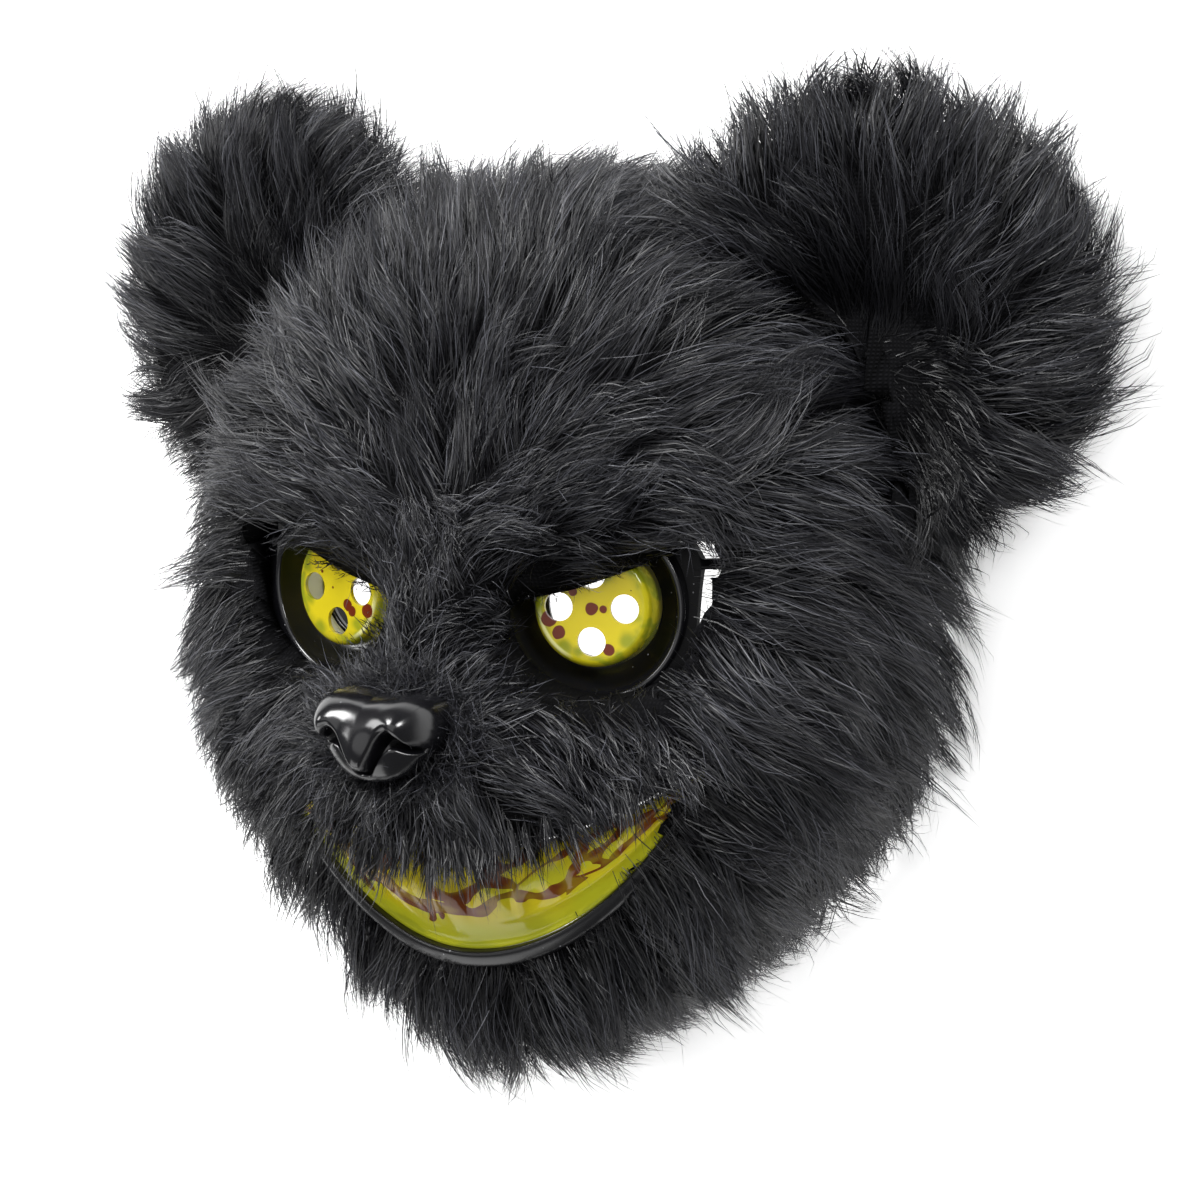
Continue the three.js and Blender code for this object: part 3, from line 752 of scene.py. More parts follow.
def grow_edges():
    """Short fur on the walls of the openings, which leans over their rims, most of all beside the nose."""
    corners, normals = outer_skin("fur_cover", edge_is_wall, 0)

    def more_on_upper_lip(places):
        share = np.minimum(np.abs(places[:, 0]) / MM / MOUTH["half"], 1)
        middle = (lower_edge(share) + upper_edge(share)) / 2
        height = places[:, 1] / MM - EYE_LINE
        return 1 + 2.5 * ((height > middle) & (height < MOUTH["corner"] + 6))

    roots, normals = plant(corners, normals, EDGE_STRANDS // PER_LOCK, more_on_upper_lip)
    way, lengths, lifts = combed(roots[:, :2] / MM, HEAD_COMB)
    at_mouth = roots[:, 1] < -0.035
    chin_side = at_mouth & (normals[:, 1] > 0)
    under_brow = ~at_mouth & (normals[:, 1] < -0.3)
    nose_side = np.clip((EYE_X + 4 - np.abs(roots[:, 0]) / MM) / 14, 0, 1) * ~at_mouth
    nose_side *= np.where(roots[:, 0] < 0, 0.1, 1.0)
    temple_side = np.clip((np.abs(roots[:, 0]) / MM - EYE_X) / 30, 0, 1)
    upward = np.array([[0, 0, 1.0]])
    into = np.where(at_mouth & ~chin_side, 0.85, 0.15 + 0.6 * nose_side)[:, None]
    flow = unit(np.column_stack([way, np.zeros(len(way))]) * 0.8 + 0.6 * upward + normals * into)
    fringe = 13.5 - 4.5 * (np.abs(roots[:, 0]) / MM / MOUTH["half"]) ** 2
    at_eye = np.where(under_brow, 3.5 - 1.5 * temple_side, 3.0 + 6.0 * nose_side)
    lengths = np.where(chin_side, 1.5, np.where(at_mouth, fringe, at_eye))
    lines = lock_lines(dipped(roots), normals, flow, lengths, np.full(len(roots), 8.0), 1.2, 0.2, 1.0 * MM)
    return strands_of(lines, normals, flow, PER_LOCK, 2.0 * MM, 0.4, 1.2 * MM)


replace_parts(add_fur("fur_edges", *grow_edges(), FRINGE_PAINTED_SHADE), "fur_cover")

COLLAR_STRANDS = 3300
COLLAR = (0.98, 1.5)  # from and to, as shares of the nose's own size
COLLAR_FIELD = 40 * MM  # round the nose, where places for the collar are tried
COLLAR_TRIES = 12000


def grow_collar():
    """Short curly hairs round the nose, which cross over each other and over its edge."""
    half_x, half_y = NOSE_DIP["half"]

    def in_field(places):
        return np.hypot(places[:, 0], places[:, 1] - NOSE_Y * MM) < COLLAR_FIELD

    roots, normals = plant(head_corners, head_normals, COLLAR_TRIES, in_field)
    x, y = roots[:, 0] / MM, roots[:, 1] / MM - EYE_LINE - NOSE_Y
    size = np.hypot(x / half_x, y / half_y)
    near = np.flatnonzero((size > COLLAR[0]) & (size < COLLAR[1]))[: COLLAR_STRANDS // PER_LOCK * 2]
    roots, normals = roots[near], normals[near]
    spokes = unit(np.column_stack([x[near], y[near], np.zeros(len(near))]))
    upward = np.tile([[0.0, 0.0, 1.0]], (len(near), 1))
    curl = turned_about(spokes, upward, rng.normal(0, 1.0, len(near)))
    flow = unit(curl - (curl * normals).sum(1, keepdims=True) * normals)
    lengths = rng.uniform(9, 14, len(roots))
    lines = lock_lines(dipped(roots), normals, flow, lengths, np.full(len(roots), 42.0), 1.6, 0.1)
    return strands_of(lines, normals, flow, PER_LOCK // 2, 2.0 * MM, 0.3, 1.6 * MM)


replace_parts(add_fur("fur_collar", *grow_collar()), "fur_cover")

# %% Fur of the ears
EAR_STRANDS = 14500
BOWL = {"in": 3.0, "down": 31.0, "across": 27.0, "along": 38.0, "deep": 22.0}  # mm, from the ear's middle
BOWL_LEAN = math.radians(24)  # how far the bowl leans outward at its top
EAR_FUR = {"long": 29.0, "lift": 25.0, "less_in_bowl": 9.0}  # mm, degrees, and what both lose in the bowl
HANG_REACH, HANGING = 20 * MM, 2.2  # near the bowl's middle the fur hangs, this strongly
# Painted shade: fur tones in the bowl are darkened to stand in for the hollow's shadow.
BOWL_PAINTED_SHADE = 0.9  # the share of its tone that fur in the bowl loses
cover = welded("fur_cover")
fur_tree = BVHTree.FromBMesh(cover)
cover.free()


def ear_is_skin(face, centre):
    """True for the outside of an ear, and not for the face that it is sewn on by."""
    _, nearest_normal, _, distance = fur_tree.find_nearest(centre)
    sewn = distance < 9 * MM and face.normal.dot(nearest_normal) < -0.35
    return not sewn and centre.z > UNDERSIDE


def bowl_of(side, node):
    """The middle of an ear's bowl, near the head, and a rule that says how deep in it places are."""
    low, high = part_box(node)
    middle = (low + high) / 2
    bowl = np.array(middle) + np.array([-side * BOWL["in"], -BOWL["down"], 4]) * MM

    def share(places):
        x, y = side * (places[:, 0] - bowl[0]) / MM, (places[:, 1] - bowl[1]) / MM
        across = (x * math.cos(BOWL_LEAN) + y * math.sin(BOWL_LEAN)) / BOWL["across"]
        along = (y * math.cos(BOWL_LEAN) - x * math.sin(BOWL_LEAN)) / BOWL["along"]
        on_front = np.clip((places[:, 2] - middle.z) / (12 * MM), 0, 1)
        return np.exp(-((across**2 + along**2) ** 2)) * on_front

    return bowl, share


def sunk_in_bowl(side, node, below=0.0):
    """A rule that lets places in the bowl of an ear sink, and by so many mm more as below says."""
    _, share = bowl_of(side, node)

    def sink(places):
        sunk = places.copy()
        sunk[:, 2] -= share(places) * (BOWL["deep"] + below) * MM
        return sunk

    return sink


def grow_ear(side, node):
    """Fur that runs out from the ear's bowl over its rim. It is short in the bowl, and painted darker there
    as shade.
    """
    bowl, share = bowl_of(side, node)
    corners, normals = outer_skin(node, ear_is_skin, EAR_ROUNDS)
    roots, normals = plant(corners, normals, EAR_STRANDS // PER_LOCK, lambda places: 1 + 0.7 * share(places))
    spokes = roots - bowl
    hanging = np.exp(-((np.linalg.norm(spokes[:, :2], axis=1, keepdims=True) / HANG_REACH) ** 2))
    spokes = unit(unit(spokes) + HANGING * hanging * np.array([[side * 0.3, -0.95, 0]]))
    flow = unit(spokes - (spokes * normals).sum(1, keepdims=True) * normals)
    in_bowl = share(roots)
    lengths = EAR_FUR["long"] - EAR_FUR["less_in_bowl"] * in_bowl
    lifts = EAR_FUR["lift"] - EAR_FUR["less_in_bowl"] * in_bowl
    lines = lock_lines(roots, normals, flow, lengths, lifts, 1.0, 0.1)
    lines = leaned_on_large(lines)
    points, normals, lock, stray = strands_of(
        lines, normals, flow, PER_LOCK, LOCK_SPREAD, LOCK_GATHER, LOCK_ASTRAY
    )
    points = sunk_in_bowl(side, node)(points.reshape(-1, 3)).reshape(points.shape)
    return points, normals, lock, stray, 1 - BOWL_PAINTED_SHADE * in_bowl[lock]


for side, node in ((1, "ear_right"), (-1, "ear_left")):
    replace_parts(add_fur(f"fur_{node}", *grow_ear(side, node)), node)

# %% [markdown]
# ## The hide
#
# Under the fibres is the knitted backing that they are fixed in. It is the frame's own solid with its skin
# drawn in to the roots, so that nothing shows through the fur. It sinks with the roots beside the nose, below
# the lip and in the bowls of the ears.


# %% Draw the skin in to the roots
def hide_of(node, is_skin, rounds, cuts, sink, name, material):
    """The frame's solid with its outside evened out, drawn in to the roots and let down by sink."""
    mesh = welded(node)
    mark = mesh.faces.layers.int.new("skin")
    for f in mesh.faces:
        f[mark] = int(is_skin(f, f.calc_center_median()))
    evened(mesh, [v for v in mesh.verts if all(f[mark] for f in v.link_faces)], rounds)
    edges = list({e for f in mesh.faces if f[mark] for e in f.edges})
    bmesh.ops.subdivide_edges(mesh, edges=edges, cuts=cuts, use_grid_fill=True)
    bmesh.ops.triangulate(mesh, faces=mesh.faces)
    mesh.normal_update()
    verts = list({v for f in mesh.faces if f[mark] for v in f.verts})
    outward = [sum((f.normal for f in v.link_faces if f[mark]), Vector()).normalized() for v in verts]
    for v, way in zip(verts, outward):
        v.co -= way * ROOT_DEPTH
    for v, place in zip(verts, sink(np.array([v.co for v in verts]))):
        v.co = place
    data = bpy.data.meshes.new(name)
    mesh.to_mesh(data)
    mesh.free()
    data.materials.append(material)
    data.shade_smooth()
    part_of_mask(in_scene(name, data), node)


def backing_material():
    """Black knitted cloth: two crossed bands of stitches."""
    material, new, link, shader = node_material("knitted_backing")
    coords = new("ShaderNodeTexCoord").outputs["Object"]
    bands = []
    for direction in ("X", "Y"):
        band = new("ShaderNodeTexWave")
        band.bands_direction = direction
        band.inputs["Scale"].default_value = 260
        band.inputs["Distortion"].default_value = 1.5
        link(coords, band.inputs["Vector"])
        bands.append(band.outputs["Fac"])
    height = calculated(new, link, "MULTIPLY", *bands)
    stitches = mixed(new, link, height, (0.0015, 0.0015, 0.002), (0.005, 0.005, 0.006))
    link(stitches, shader.inputs["Base Color"])
    bump = new("ShaderNodeBump")
    bump.inputs["Distance"].default_value = 0.2 * MM
    link(height, bump.inputs["Height"])
    link(bump.outputs["Normal"], shader.inputs["Normal"])
    shader.inputs["Roughness"].default_value = 0.9
    shader.inputs["Specular IOR Level"].default_value = 0.1
    return material


HIDE_BELOW = 5.0  # mm: how far the hide lies under the strands in an ear's bowl
backing = backing_material()
hide_of("fur_cover", head_is_skin, HEAD_ROUNDS, 1, dipped, "hide_head", backing)
for side, node in ((1, "ear_right"), (-1, "ear_left")):
    sink = sunk_in_bowl(side, node, HIDE_BELOW)
    hide_of(node, ear_is_skin, EAR_ROUNDS, 2, sink, f"hide_{node}", backing)


# %% [markdown]
# ## The plastic face's own height
#
# The lip, the grin and the nose all stand on the moulded plastic face, so they need its height at any place.
# The frame makes that face from a dome over an outline, with the muzzle added. The same rule is written here
# for whole arrays, which keeps the fine pieces on the frame's form without reading its coarse facets.

# %% Height of the plastic face
FACE_MIDDLE_Y = -20.0  # mm from the eye line
REACHES = np.array([150, 148, 139, 129, 124, 124, 119, 117, 125, 136.0])  # every 20 degrees from the crown
CROWN, WIDEST, SHELL_INSET, DOME_REACH = 114.0, 26.0, 17.5, 0.85


def reach(angle):
    """How far the fur reaches from the middle of the face, along a smooth curve through REACHES."""
    place = np.abs(angle) / np.pi * (len(REACHES) - 1)
    i = np.clip(np.floor(place).astype(int), 0, len(REACHES) - 2)
    w = place - i
    before, here, after, last = (REACHES[np.clip(i + k, 0, len(REACHES) - 1)] for k in (-1, 0, 1, 2))
    start, end = (after - before) / 2, (last - here) / 2
    cubic = 2 * here - 2 * after + start + end
    square = 3 * after - 3 * here - 2 * start - end
    return cubic * w**3 + square * w**2 + start * w + here


def plastic_height(x, y):
    """The height of the plastic face over the rim, in mm, at places in mm from the eye line."""
    across, up = x, y - FACE_MIDDLE_Y
    angle = np.arctan2(across, up)
    share = np.minimum(1, np.hypot(across, up) / (reach(angle) - SHELL_INSET))
    lean = np.arcsin(share ** (1 / DOME_REACH))
    rise = np.maximum(np.cos(lean), 0) ** (0.66 + 0.14 * np.cos(angle))
    spread = reach(angle) * np.sin(lean) ** DOME_REACH
    muzzle_x, muzzle_y = np.sin(angle) * spread, np.cos(angle) * spread + FACE_MIDDLE_Y
    away = (muzzle_x / 48) ** 2 + ((muzzle_y + 47) / 32) ** 2
    muzzle = 27 * np.exp(-(away**1.7))
    return WIDEST + (CROWN - SHELL_INSET - WIDEST) * rise + muzzle * np.minimum(1, rise * 1.6)


print("plastic face at its middle:", round(float(plastic_height(np.array(0.0), np.array(-47.0))), 1), "mm")

# %% [markdown]
# ## Surfaces from grids
#
# Every smooth hard piece here is a grid of points: a turned ring, a band that follows a line, or a sheet. One
# helper turns a grid into a mesh, and one draws a smooth line through a few named points.


# %% Grid and line helpers
def smooth_through(points, per):
    """A smooth open line through points, with per steps between two of them."""
    points = np.array(points, float)
    padded = np.vstack([2 * points[0] - points[1], points, 2 * points[-1] - points[-2]])
    t = np.arange(per)[:, None] / per
    line = []
    for before, here, after, last in zip(padded, padded[1:], padded[2:], padded[3:]):
        start, end = (after - before) / 2, (last - here) / 2
        line.append(
            (2 * here - 2 * after + start + end) * t**3
            + (3 * after - 3 * here - 2 * start - end) * t**2
            + start * t
            + here
        )
    return np.vstack([*line, points[-1:]])


def grid_mesh(name, grid, material, loop_rows=False, loop_columns=False, uv=None):
    """A smooth object over a (rows, columns, 3) grid in metres, with doubled points joined."""
    rows, columns = grid.shape[:2]
    down = np.arange(rows if loop_rows else rows - 1)
    across = np.arange(columns if loop_columns else columns - 1)
    i, j = np.meshgrid(down, across, indexing="ij")
    next_i, next_j = (i + 1) % rows, (j + 1) % columns
    quads = np.stack(
        [i * columns + j, next_i * columns + j, next_i * columns + next_j, i * columns + next_j], 2
    ).reshape(-1, 4)
    data = bpy.data.meshes.new(name)
    data.from_pydata(grid.reshape(-1, 3).tolist(), [], quads.tolist())
    if uv is not None:
        layer = data.uv_layers.new(name="place")
        layer.data.foreach_set("uv", uv.reshape(-1, 2)[quads.ravel()].astype(np.float32).ravel())
    mesh = bmesh.new()
    mesh.from_mesh(data)
    bmesh.ops.remove_doubles(mesh, verts=mesh.verts, dist=0.001 * MM)
    mesh.to_mesh(data)
    mesh.free()
    data.materials.append(material)
    data.shade_smooth()
    return in_scene(name, data)


def turned(profile, steps):
    """The grid of a profile of [radius, height] points in mm, turned about Z."""
    radius, height = np.array(profile, float).T[:, :, None] * MM
    turn = np.linspace(0, 2 * np.pi, steps, endpoint=False)[None]
    return np.stack([radius * np.cos(turn), radius * np.sin(turn), height + 0 * turn], 2)


def arc(centre, radii, start, end, steps):
    """Points of an ellipse's arc, with angles in degrees from the first axis."""
    turn = np.radians(np.linspace(start, end, steps))
    return np.column_stack([centre[0] + radii[0] * np.cos(turn), centre[1] + radii[1] * np.sin(turn)])


# %% [markdown]
# ## Black plastic and yellow film
#
# Both are smooth moulded sheet, so they share one node group for what makes them look handled: dust specks
# and the slow ripple of vacuum-formed plastic. The group gives out only a mask and a height. Each material
# decides for itself what to do with them. The film is see-through, so its transmission stays a plain value.


# %% Dust and ripple
def dust_and_ripple():
    """A shader node group: Specks, a mask of sparse dust, and Ripple, a slow height."""
    tree = bpy.data.node_groups.new("dust_and_ripple", "ShaderNodeTree")
    amount = tree.interface.new_socket("Amount", in_out="INPUT", socket_type="NodeSocketFloat")
    amount.default_value = 0.3
    tree.interface.new_socket("Specks", in_out="OUTPUT", socket_type="NodeSocketFloat")
    tree.interface.new_socket("Ripple", in_out="OUTPUT", socket_type="NodeSocketFloat")
    new, link = tree.nodes.new, tree.links.new
    given, result = new("NodeGroupInput"), new("NodeGroupOutput")
    coords = new("ShaderNodeTexCoord")
    cells = new("ShaderNodeTexVoronoi")
    cells.inputs["Scale"].default_value = 420
    link(coords.outputs["Object"], cells.inputs["Vector"])
    dot = calculated(new, link, "LESS_THAN", cells.outputs["Distance"], 0.09)
    chance = new("ShaderNodeSeparateColor")
    link(cells.outputs["Color"], chance.inputs["Color"])
    rare = calculated(new, link, "LESS_THAN", chance.outputs["Red"], given.outputs["Amount"])
    link(calculated(new, link, "MULTIPLY", dot, rare), result.inputs["Specks"])
    link(noise_at(new, link, coords.outputs["Object"], 55), result.inputs["Ripple"])
    return tree


handled = dust_and_ripple()


def handled_group(new, link, shader, dust, ripple):
    """Adds the group with its share of dust, and feeds its ripple, in metres, to the shader as a bump."""
    group = new("ShaderNodeGroup")
    group.node_tree = handled
    group.inputs["Amount"].default_value = dust
    bump = new("ShaderNodeBump")
    bump.inputs["Distance"].default_value = ripple
    bump.inputs["Strength"].default_value = 0.35
    link(group.outputs["Ripple"], bump.inputs["Height"])
    link(bump.outputs["Normal"], shader.inputs["Normal"])
    return group


def black_plastic_material(name, roughness, specular):
    """Black plastic with a little dust."""
    material, new, link, shader = node_material(name)
    group = handled_group(new, link, shader, 0.16, 0.25 * MM)
    colour = mixed(new, link, group.outputs["Specks"], (0.004, 0.004, 0.005), (0.3, 0.3, 0.32))
    link(colour, shader.inputs["Base Color"])
    rough = calculated(new, link, "MULTIPLY_ADD", group.outputs["Specks"], 0.4, roughness)
    link(rough, shader.inputs["Roughness"])
    shader.inputs["Specular IOR Level"].default_value = specular
    return material


black_plastic = black_plastic_material("black_plastic", 0.19, 0.55)
lip_plastic = black_plastic_material("lip_plastic", 0.27, 0.5)
sheet_plastic = black_plastic_material("sheet_plastic", 0.35, 0.1)

# %% [markdown]
# ## Yellow film with spatter
#
# The lenses and the grin are the same see-through yellow sheet, greener where it curves away and stained with
# dark red paint. Each lens has its own few round spots, given as places on its flat face. Noise bends the
# coordinates a little, so that the spots come out uneven like dried drops.


# %% The film's material
def film_base(name):
    """The film's material, its helpers, its shader and its dust group."""
    material, new, link, shader = node_material(name)
    group = handled_group(new, link, shader, 0.03, 0.3 * MM)
    shader.inputs["Roughness"].default_value = 0.12
    shader.inputs["Transmission Weight"].default_value = 0.35
    shader.inputs["IOR"].default_value = 1.45
    shader.inputs["Specular IOR Level"].default_value = 0.25
    return material, new, link, shader, group


def vector_math(new, link, operation, source, other=None):
    """A vector math node on a socket and a plain vector. It gives its vector, or its value if it has one."""
    node = new("ShaderNodeVectorMath")
    node.operation = operation
    link(source, node.inputs[0])
    if other is not None:
        node.inputs[1].default_value = other
    gives_value = operation in ("LENGTH", "DISTANCE", "DOT_PRODUCT")
    return node.outputs["Value" if gives_value else "Vector"]


def bent_coordinates(new, link, source, scale, amount, detail=1.0):
    """Coordinates that noise has pushed about a little."""
    noise = new("ShaderNodeTexNoise")
    noise.inputs["Scale"].default_value = scale
    noise.inputs["Detail"].default_value = detail
    link(source, noise.inputs["Vector"])
    centred = vector_math(new, link, "SUBTRACT", noise.outputs["Color"], (0.5, 0.5, 0.5))
    pushed = vector_math(new, link, "MULTIPLY_ADD", centred, (amount, amount, amount))
    link(source, pushed.node.inputs[2])
    return pushed


def spot_mask(new, link, coords, spots, soft):
    """One inside any of the round spots (x, y, radius), which are in mm on the piece's own face."""
    flat = vector_math(new, link, "MULTIPLY", coords, (1, 1, 0))
    total = None
    for x, y, radius in spots:
        away = vector_math(new, link, "DISTANCE", flat, (x * MM, y * MM, 0))
        mask = ramped(new, link, away, (radius + soft) * MM, (radius - soft) * MM)
        total = mask if total is None else calculated(new, link, "MAXIMUM", total, mask)
    return total


YELLOW, LEAF, GREEN = (0.62, 0.51, 0.012), (0.46, 0.50, 0.025), (0.20, 0.25, 0.012)
PAINTED_GLINT, DRIED_RED, SMUDGE = (0.86, 0.84, 0.42), (0.135, 0.020, 0.004), (0.03, 0.015, 0.005)
PAINTED_BACKLIGHT = (0.93, 0.92, 0.62)  # painted light: the inner wall of a lens, made pale as if lit from behind
EDGE_STARTS, EDGE_GREEN = 13.2 * MM, 15.6 * MM  # from a lens's middle: where the green begins and is full
GLINT_RADIUS = 15.9 * MM  # where the painted highlight lies, in place of light gathered in the rounded edge
INNER_WALL = 17.6 * MM  # between the radii of a lens's inner and outer walls


def lens_material(name, inward, red_spots, green_spots):
    """Film with round dried drops, green blotches in its rounded edge, a painted highlight in that edge and a
    pale inner wall as painted light.
    """
    material, new, link, shader, group = film_base(name)
    coords = new("ShaderNodeTexCoord").outputs["Object"]
    away = vector_math(new, link, "LENGTH", coords)
    uneven = bent_coordinates(new, link, coords, 120, 5 * MM)
    spots = calculated(new, link, "MULTIPLY", spot_mask(new, link, uneven, green_spots, 1.6), 0.8)
    edge = ramped(new, link, away, EDGE_STARTS, EDGE_GREEN)
    blotch = ramped(new, link, noise_at(new, link, coords, 150), 0.46, 0.6, 0.85, 0.3)
    greener = calculated(new, link, "MAXIMUM", spots, calculated(new, link, "MULTIPLY", edge, blotch))
    film = mixed(new, link, greener, YELLOW, GREEN)

    # A painted highlight: a pale arc on the lower inner side of the rounded edge, standing in for light
    # gathered in the film.
    towards = vector_math(new, link, "DOT_PRODUCT", coords, (0.82 * inward, -0.57, 0))
    facing = ramped(new, link, calculated(new, link, "DIVIDE", towards, away), 0.80, 0.97)
    off_ring = calculated(new, link, "ABSOLUTE", calculated(new, link, "SUBTRACT", away, GLINT_RADIUS))
    ring = ramped(new, link, off_ring, 0.9 * MM, 0.2 * MM, 0.8)
    film = mixed(new, link, calculated(new, link, "MULTIPLY", facing, ring), film, PAINTED_GLINT)

    bent = bent_coordinates(new, link, coords, 260, 1.0 * MM)
    stained = mixed(new, link, spot_mask(new, link, bent, red_spots, 0.12), film, DRIED_RED)
    dusty = mixed(new, link, group.outputs["Specks"], stained, SMUDGE)

    # Painted light: the cup's inner wall is made pale, standing in for the light table shining through the
    # film.
    split = new("ShaderNodeSeparateXYZ")
    link(coords, split.inputs[0])
    deep = ramped(new, link, split.outputs["Z"], -1.4 * MM, -2.2 * MM)
    flat = vector_math(new, link, "MULTIPLY", coords, (1, 1, 0))
    from_axis = vector_math(new, link, "LENGTH", flat)
    inside = ramped(new, link, from_axis, INNER_WALL + 0.1 * MM, INNER_WALL - 0.1 * MM)
    backlit_wall = calculated(new, link, "MULTIPLY", deep, inside)
    link(mixed(new, link, backlit_wall, dusty, PAINTED_BACKLIGHT), shader.inputs["Base Color"])
    return material


GRIN_STRETCH = 5.5  # the grin is about so many times longer than it is tall
DRIP_SCALE, DRIP_RADIUS = 1.5, 0.045  # drips in a length that equals the grin's height, and their half width


def grin_material():
    """Film with dark red strokes that branch between the teeth, read from the map: u along, v up."""
    material, new, link, shader, group = film_base("stained_film")
    uv = new("ShaderNodeUVMap")
    uv.uv_map = "place"
    even = vector_math(new, link, "MULTIPLY", uv.outputs["UV"], (GRIN_STRETCH, 1, 1))
    bent = bent_coordinates(new, link, even, 3.0, 0.34, 0.0)
    split = new("ShaderNodeSeparateXYZ")
    link(bent, split.inputs[0])
    along, up = split.outputs["X"], split.outputs["Y"]

    def with_half_width(distance, noise_scale, thin, thick):
        """One where a line is nearer than its own half width, which swells and shrinks along it."""
        width = ramped(new, link, noise_at(new, link, even, noise_scale, 0.0), 0.35, 0.65, thick, thin)
        return calculated(new, link, "LESS_THAN", distance, width)

    swell = noise_at(new, link, even, 1.6, 0.0)
    gum = calculated(new, link, "MULTIPLY_ADD", swell, 0.22, 0.35)
    off = calculated(new, link, "SUBTRACT", up, gum)
    stroke = with_half_width(calculated(new, link, "ABSOLUTE", off), 4.0, 0.022, 0.085)

    cells = new("ShaderNodeTexVoronoi")
    cells.feature = "DISTANCE_TO_EDGE"
    cells.voronoi_dimensions = "2D"
    cells.inputs["Scale"].default_value = 2.7
    link(bent, cells.inputs["Vector"])
    branch = with_half_width(cells.outputs["Distance"], 5.0, 0.05, 0.2)
    branch = calculated(new, link, "MULTIPLY", branch, calculated(new, link, "GREATER_THAN", off, 0.0))

    column = new("ShaderNodeTexVoronoi")
    column.voronoi_dimensions = "1D"
    column.inputs["Scale"].default_value = DRIP_SCALE
    link(along, column.inputs["W"])
    aside = calculated(new, link, "DIVIDE", column.outputs["Distance"], DRIP_SCALE)
    foot = calculated(new, link, "MULTIPLY_ADD", noise_at(new, link, even, 1.3, 0.0), 0.8, -0.12)
    below = calculated(new, link, "MAXIMUM", calculated(new, link, "SUBTRACT", foot, up), 0.0)
    squared = [calculated(new, link, "MULTIPLY", part, part) for part in (aside, below)]
    away = calculated(new, link, "SQRT", calculated(new, link, "ADD", *squared))
    drip = calculated(new, link, "LESS_THAN", away, DRIP_RADIUS)
    drip = calculated(new, link, "MULTIPLY", drip, calculated(new, link, "LESS_THAN", off, 0.0))
    red = calculated(new, link, "MAXIMUM", stroke, calculated(new, link, "MAXIMUM", branch, drip))
    thin = ramped(new, link, noise_at(new, link, even, 5.0, 1.0), 0.4, 0.6, 0.97, 0.74)

    leaf = ramped(new, link, up, 0.44, 0.1, 0.75)
    cloud = ramped(new, link, noise_at(new, link, even, 2.6), 0.5, 0.64, 0.6)
    film = mixed(new, link, calculated(new, link, "MAXIMUM", leaf, cloud), YELLOW, LEAF)
    dark_edge = ramped(new, link, up, 0.06, 0.0, 0.35)
    film = mixed(new, link, dark_edge, film, GREEN)
    stained = mixed(new, link, calculated(new, link, "MULTIPLY", red, thin), film, DRIED_RED)
    dusty = mixed(new, link, group.outputs["Specks"], stained, SMUDGE)
    link(dusty, shader.inputs["Base Color"])
    return material


# %% [markdown]
# ## Eyes
#
# A socket is a dished ring moulded into the plastic face, and a lens is a shallow cup that stands in it.
# Both are turned shapes, so each is a short profile swept round the eye's axis, which leans outward. The four
# peep holes are drilled with a boolean, as they would be punched in the real cap. Each cup is open at its
# foot, so a hole shows the light table under the mask, or the cup's own wall where it is looked at aslant.

# %% Sockets and lenses
EYE_OUTWARD = math.radians(12)
ROUND = 96  # steps round a turned piece
SOCKET_RADIUS = 28.0  # mm
# the profiles are (radius, height) in mm from the eye's middle
SOCKET_PROFILE = [
    *arc((26.9, 0.4), (1.1, 1.1), 0, 180, 9),
    *smooth_through([(25.8, -0.6), (25.1, -3.4), (23.4, -6.6), (21.0, -9.0), (18.6, -9.9), (16.5, -10.0)], 4),
    (16.5, -12.0),
    (23.8, -12.0),
    (SOCKET_RADIUS, -6.0),
    (SOCKET_RADIUS, 0.4),
]
LENS_RADIUS, LENS_FLAT, LENS_FRONT, LENS_FOOT = 18.6, 14.6, 1.0, -9.6
LENS_PROFILE = [
    (LENS_RADIUS, LENS_FOOT),
    (18.4, -6.0),
    (18.0, -3.2),
    *arc((15.4, -1.6), (2.4, 2.6), 5, 90, 9),
    (14.9, LENS_FRONT),
    (7.0, LENS_FRONT),
    (0.0, LENS_FRONT),
    (0.0, -0.2),
    (7.0, -0.2),
    (14.8, -0.2),
    *arc((15.2, -1.8), (1.5, 1.6), 85, 5, 9),
    (16.9, -3.6),
    (17.2, -6.0),
    (17.4, LENS_FOOT),
]
PEEP_RADIUS, PEEP_CIRCLE = 4.3, 10.0
SHARP = math.radians(35)  # edges sharper than this stay crisp
# spots on the flat face, in mm: (x, y, radius)
RED_RIGHT = [
    (0.0, -0.3, 2.0),
    (3.6, -0.3, 1.25),
    (-5.6, 4.4, 1.2),
    (-12.9, -3.6, 2.3),
    (-10.0, -7.6, 2.0),
    (5.2, -12.2, 1.8),
]
GREEN_RIGHT = [
    (-8.5, -11.6, 2.4),
    (-4.8, -12.6, 1.6),
    (11.5, -8.8, 2.6),
    (14.2, -2.5, 1.6),
    (4.6, 8.8, 1.6),
]
RED_LEFT = [(4.4, -4.6, 1.9), (6.2, -6.4, 1.6), (12.8, -5.6, 2.2), (-6.6, 4.8, 0.5), (-2.2, 0.2, 0.4)]
GREEN_LEFT = [(-13.0, 6.0, 2.0), (-13.4, -4.0, 1.6), (-8.0, -12.0, 2.0), (8.8, -10.2, 2.4)]


def eye_place(side):
    """Where an eye's own frame lies: its origin on the plastic face, and its axis turned outward."""
    low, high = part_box("eye_lens_right")
    lean, upright_share = math.sin(EYE_OUTWARD), math.cos(EYE_OUTWARD)
    middle_x = low.x + (LENS_RADIUS * upright_share - LENS_FOOT * lean) * MM
    top = high.z - (LENS_FRONT * upright_share + LENS_FLAT * lean) * MM
    middle = Matrix.Translation((side * middle_x, EYE_LINE * MM, top))
    return middle @ Matrix.Rotation(side * EYE_OUTWARD, 4, "Y")


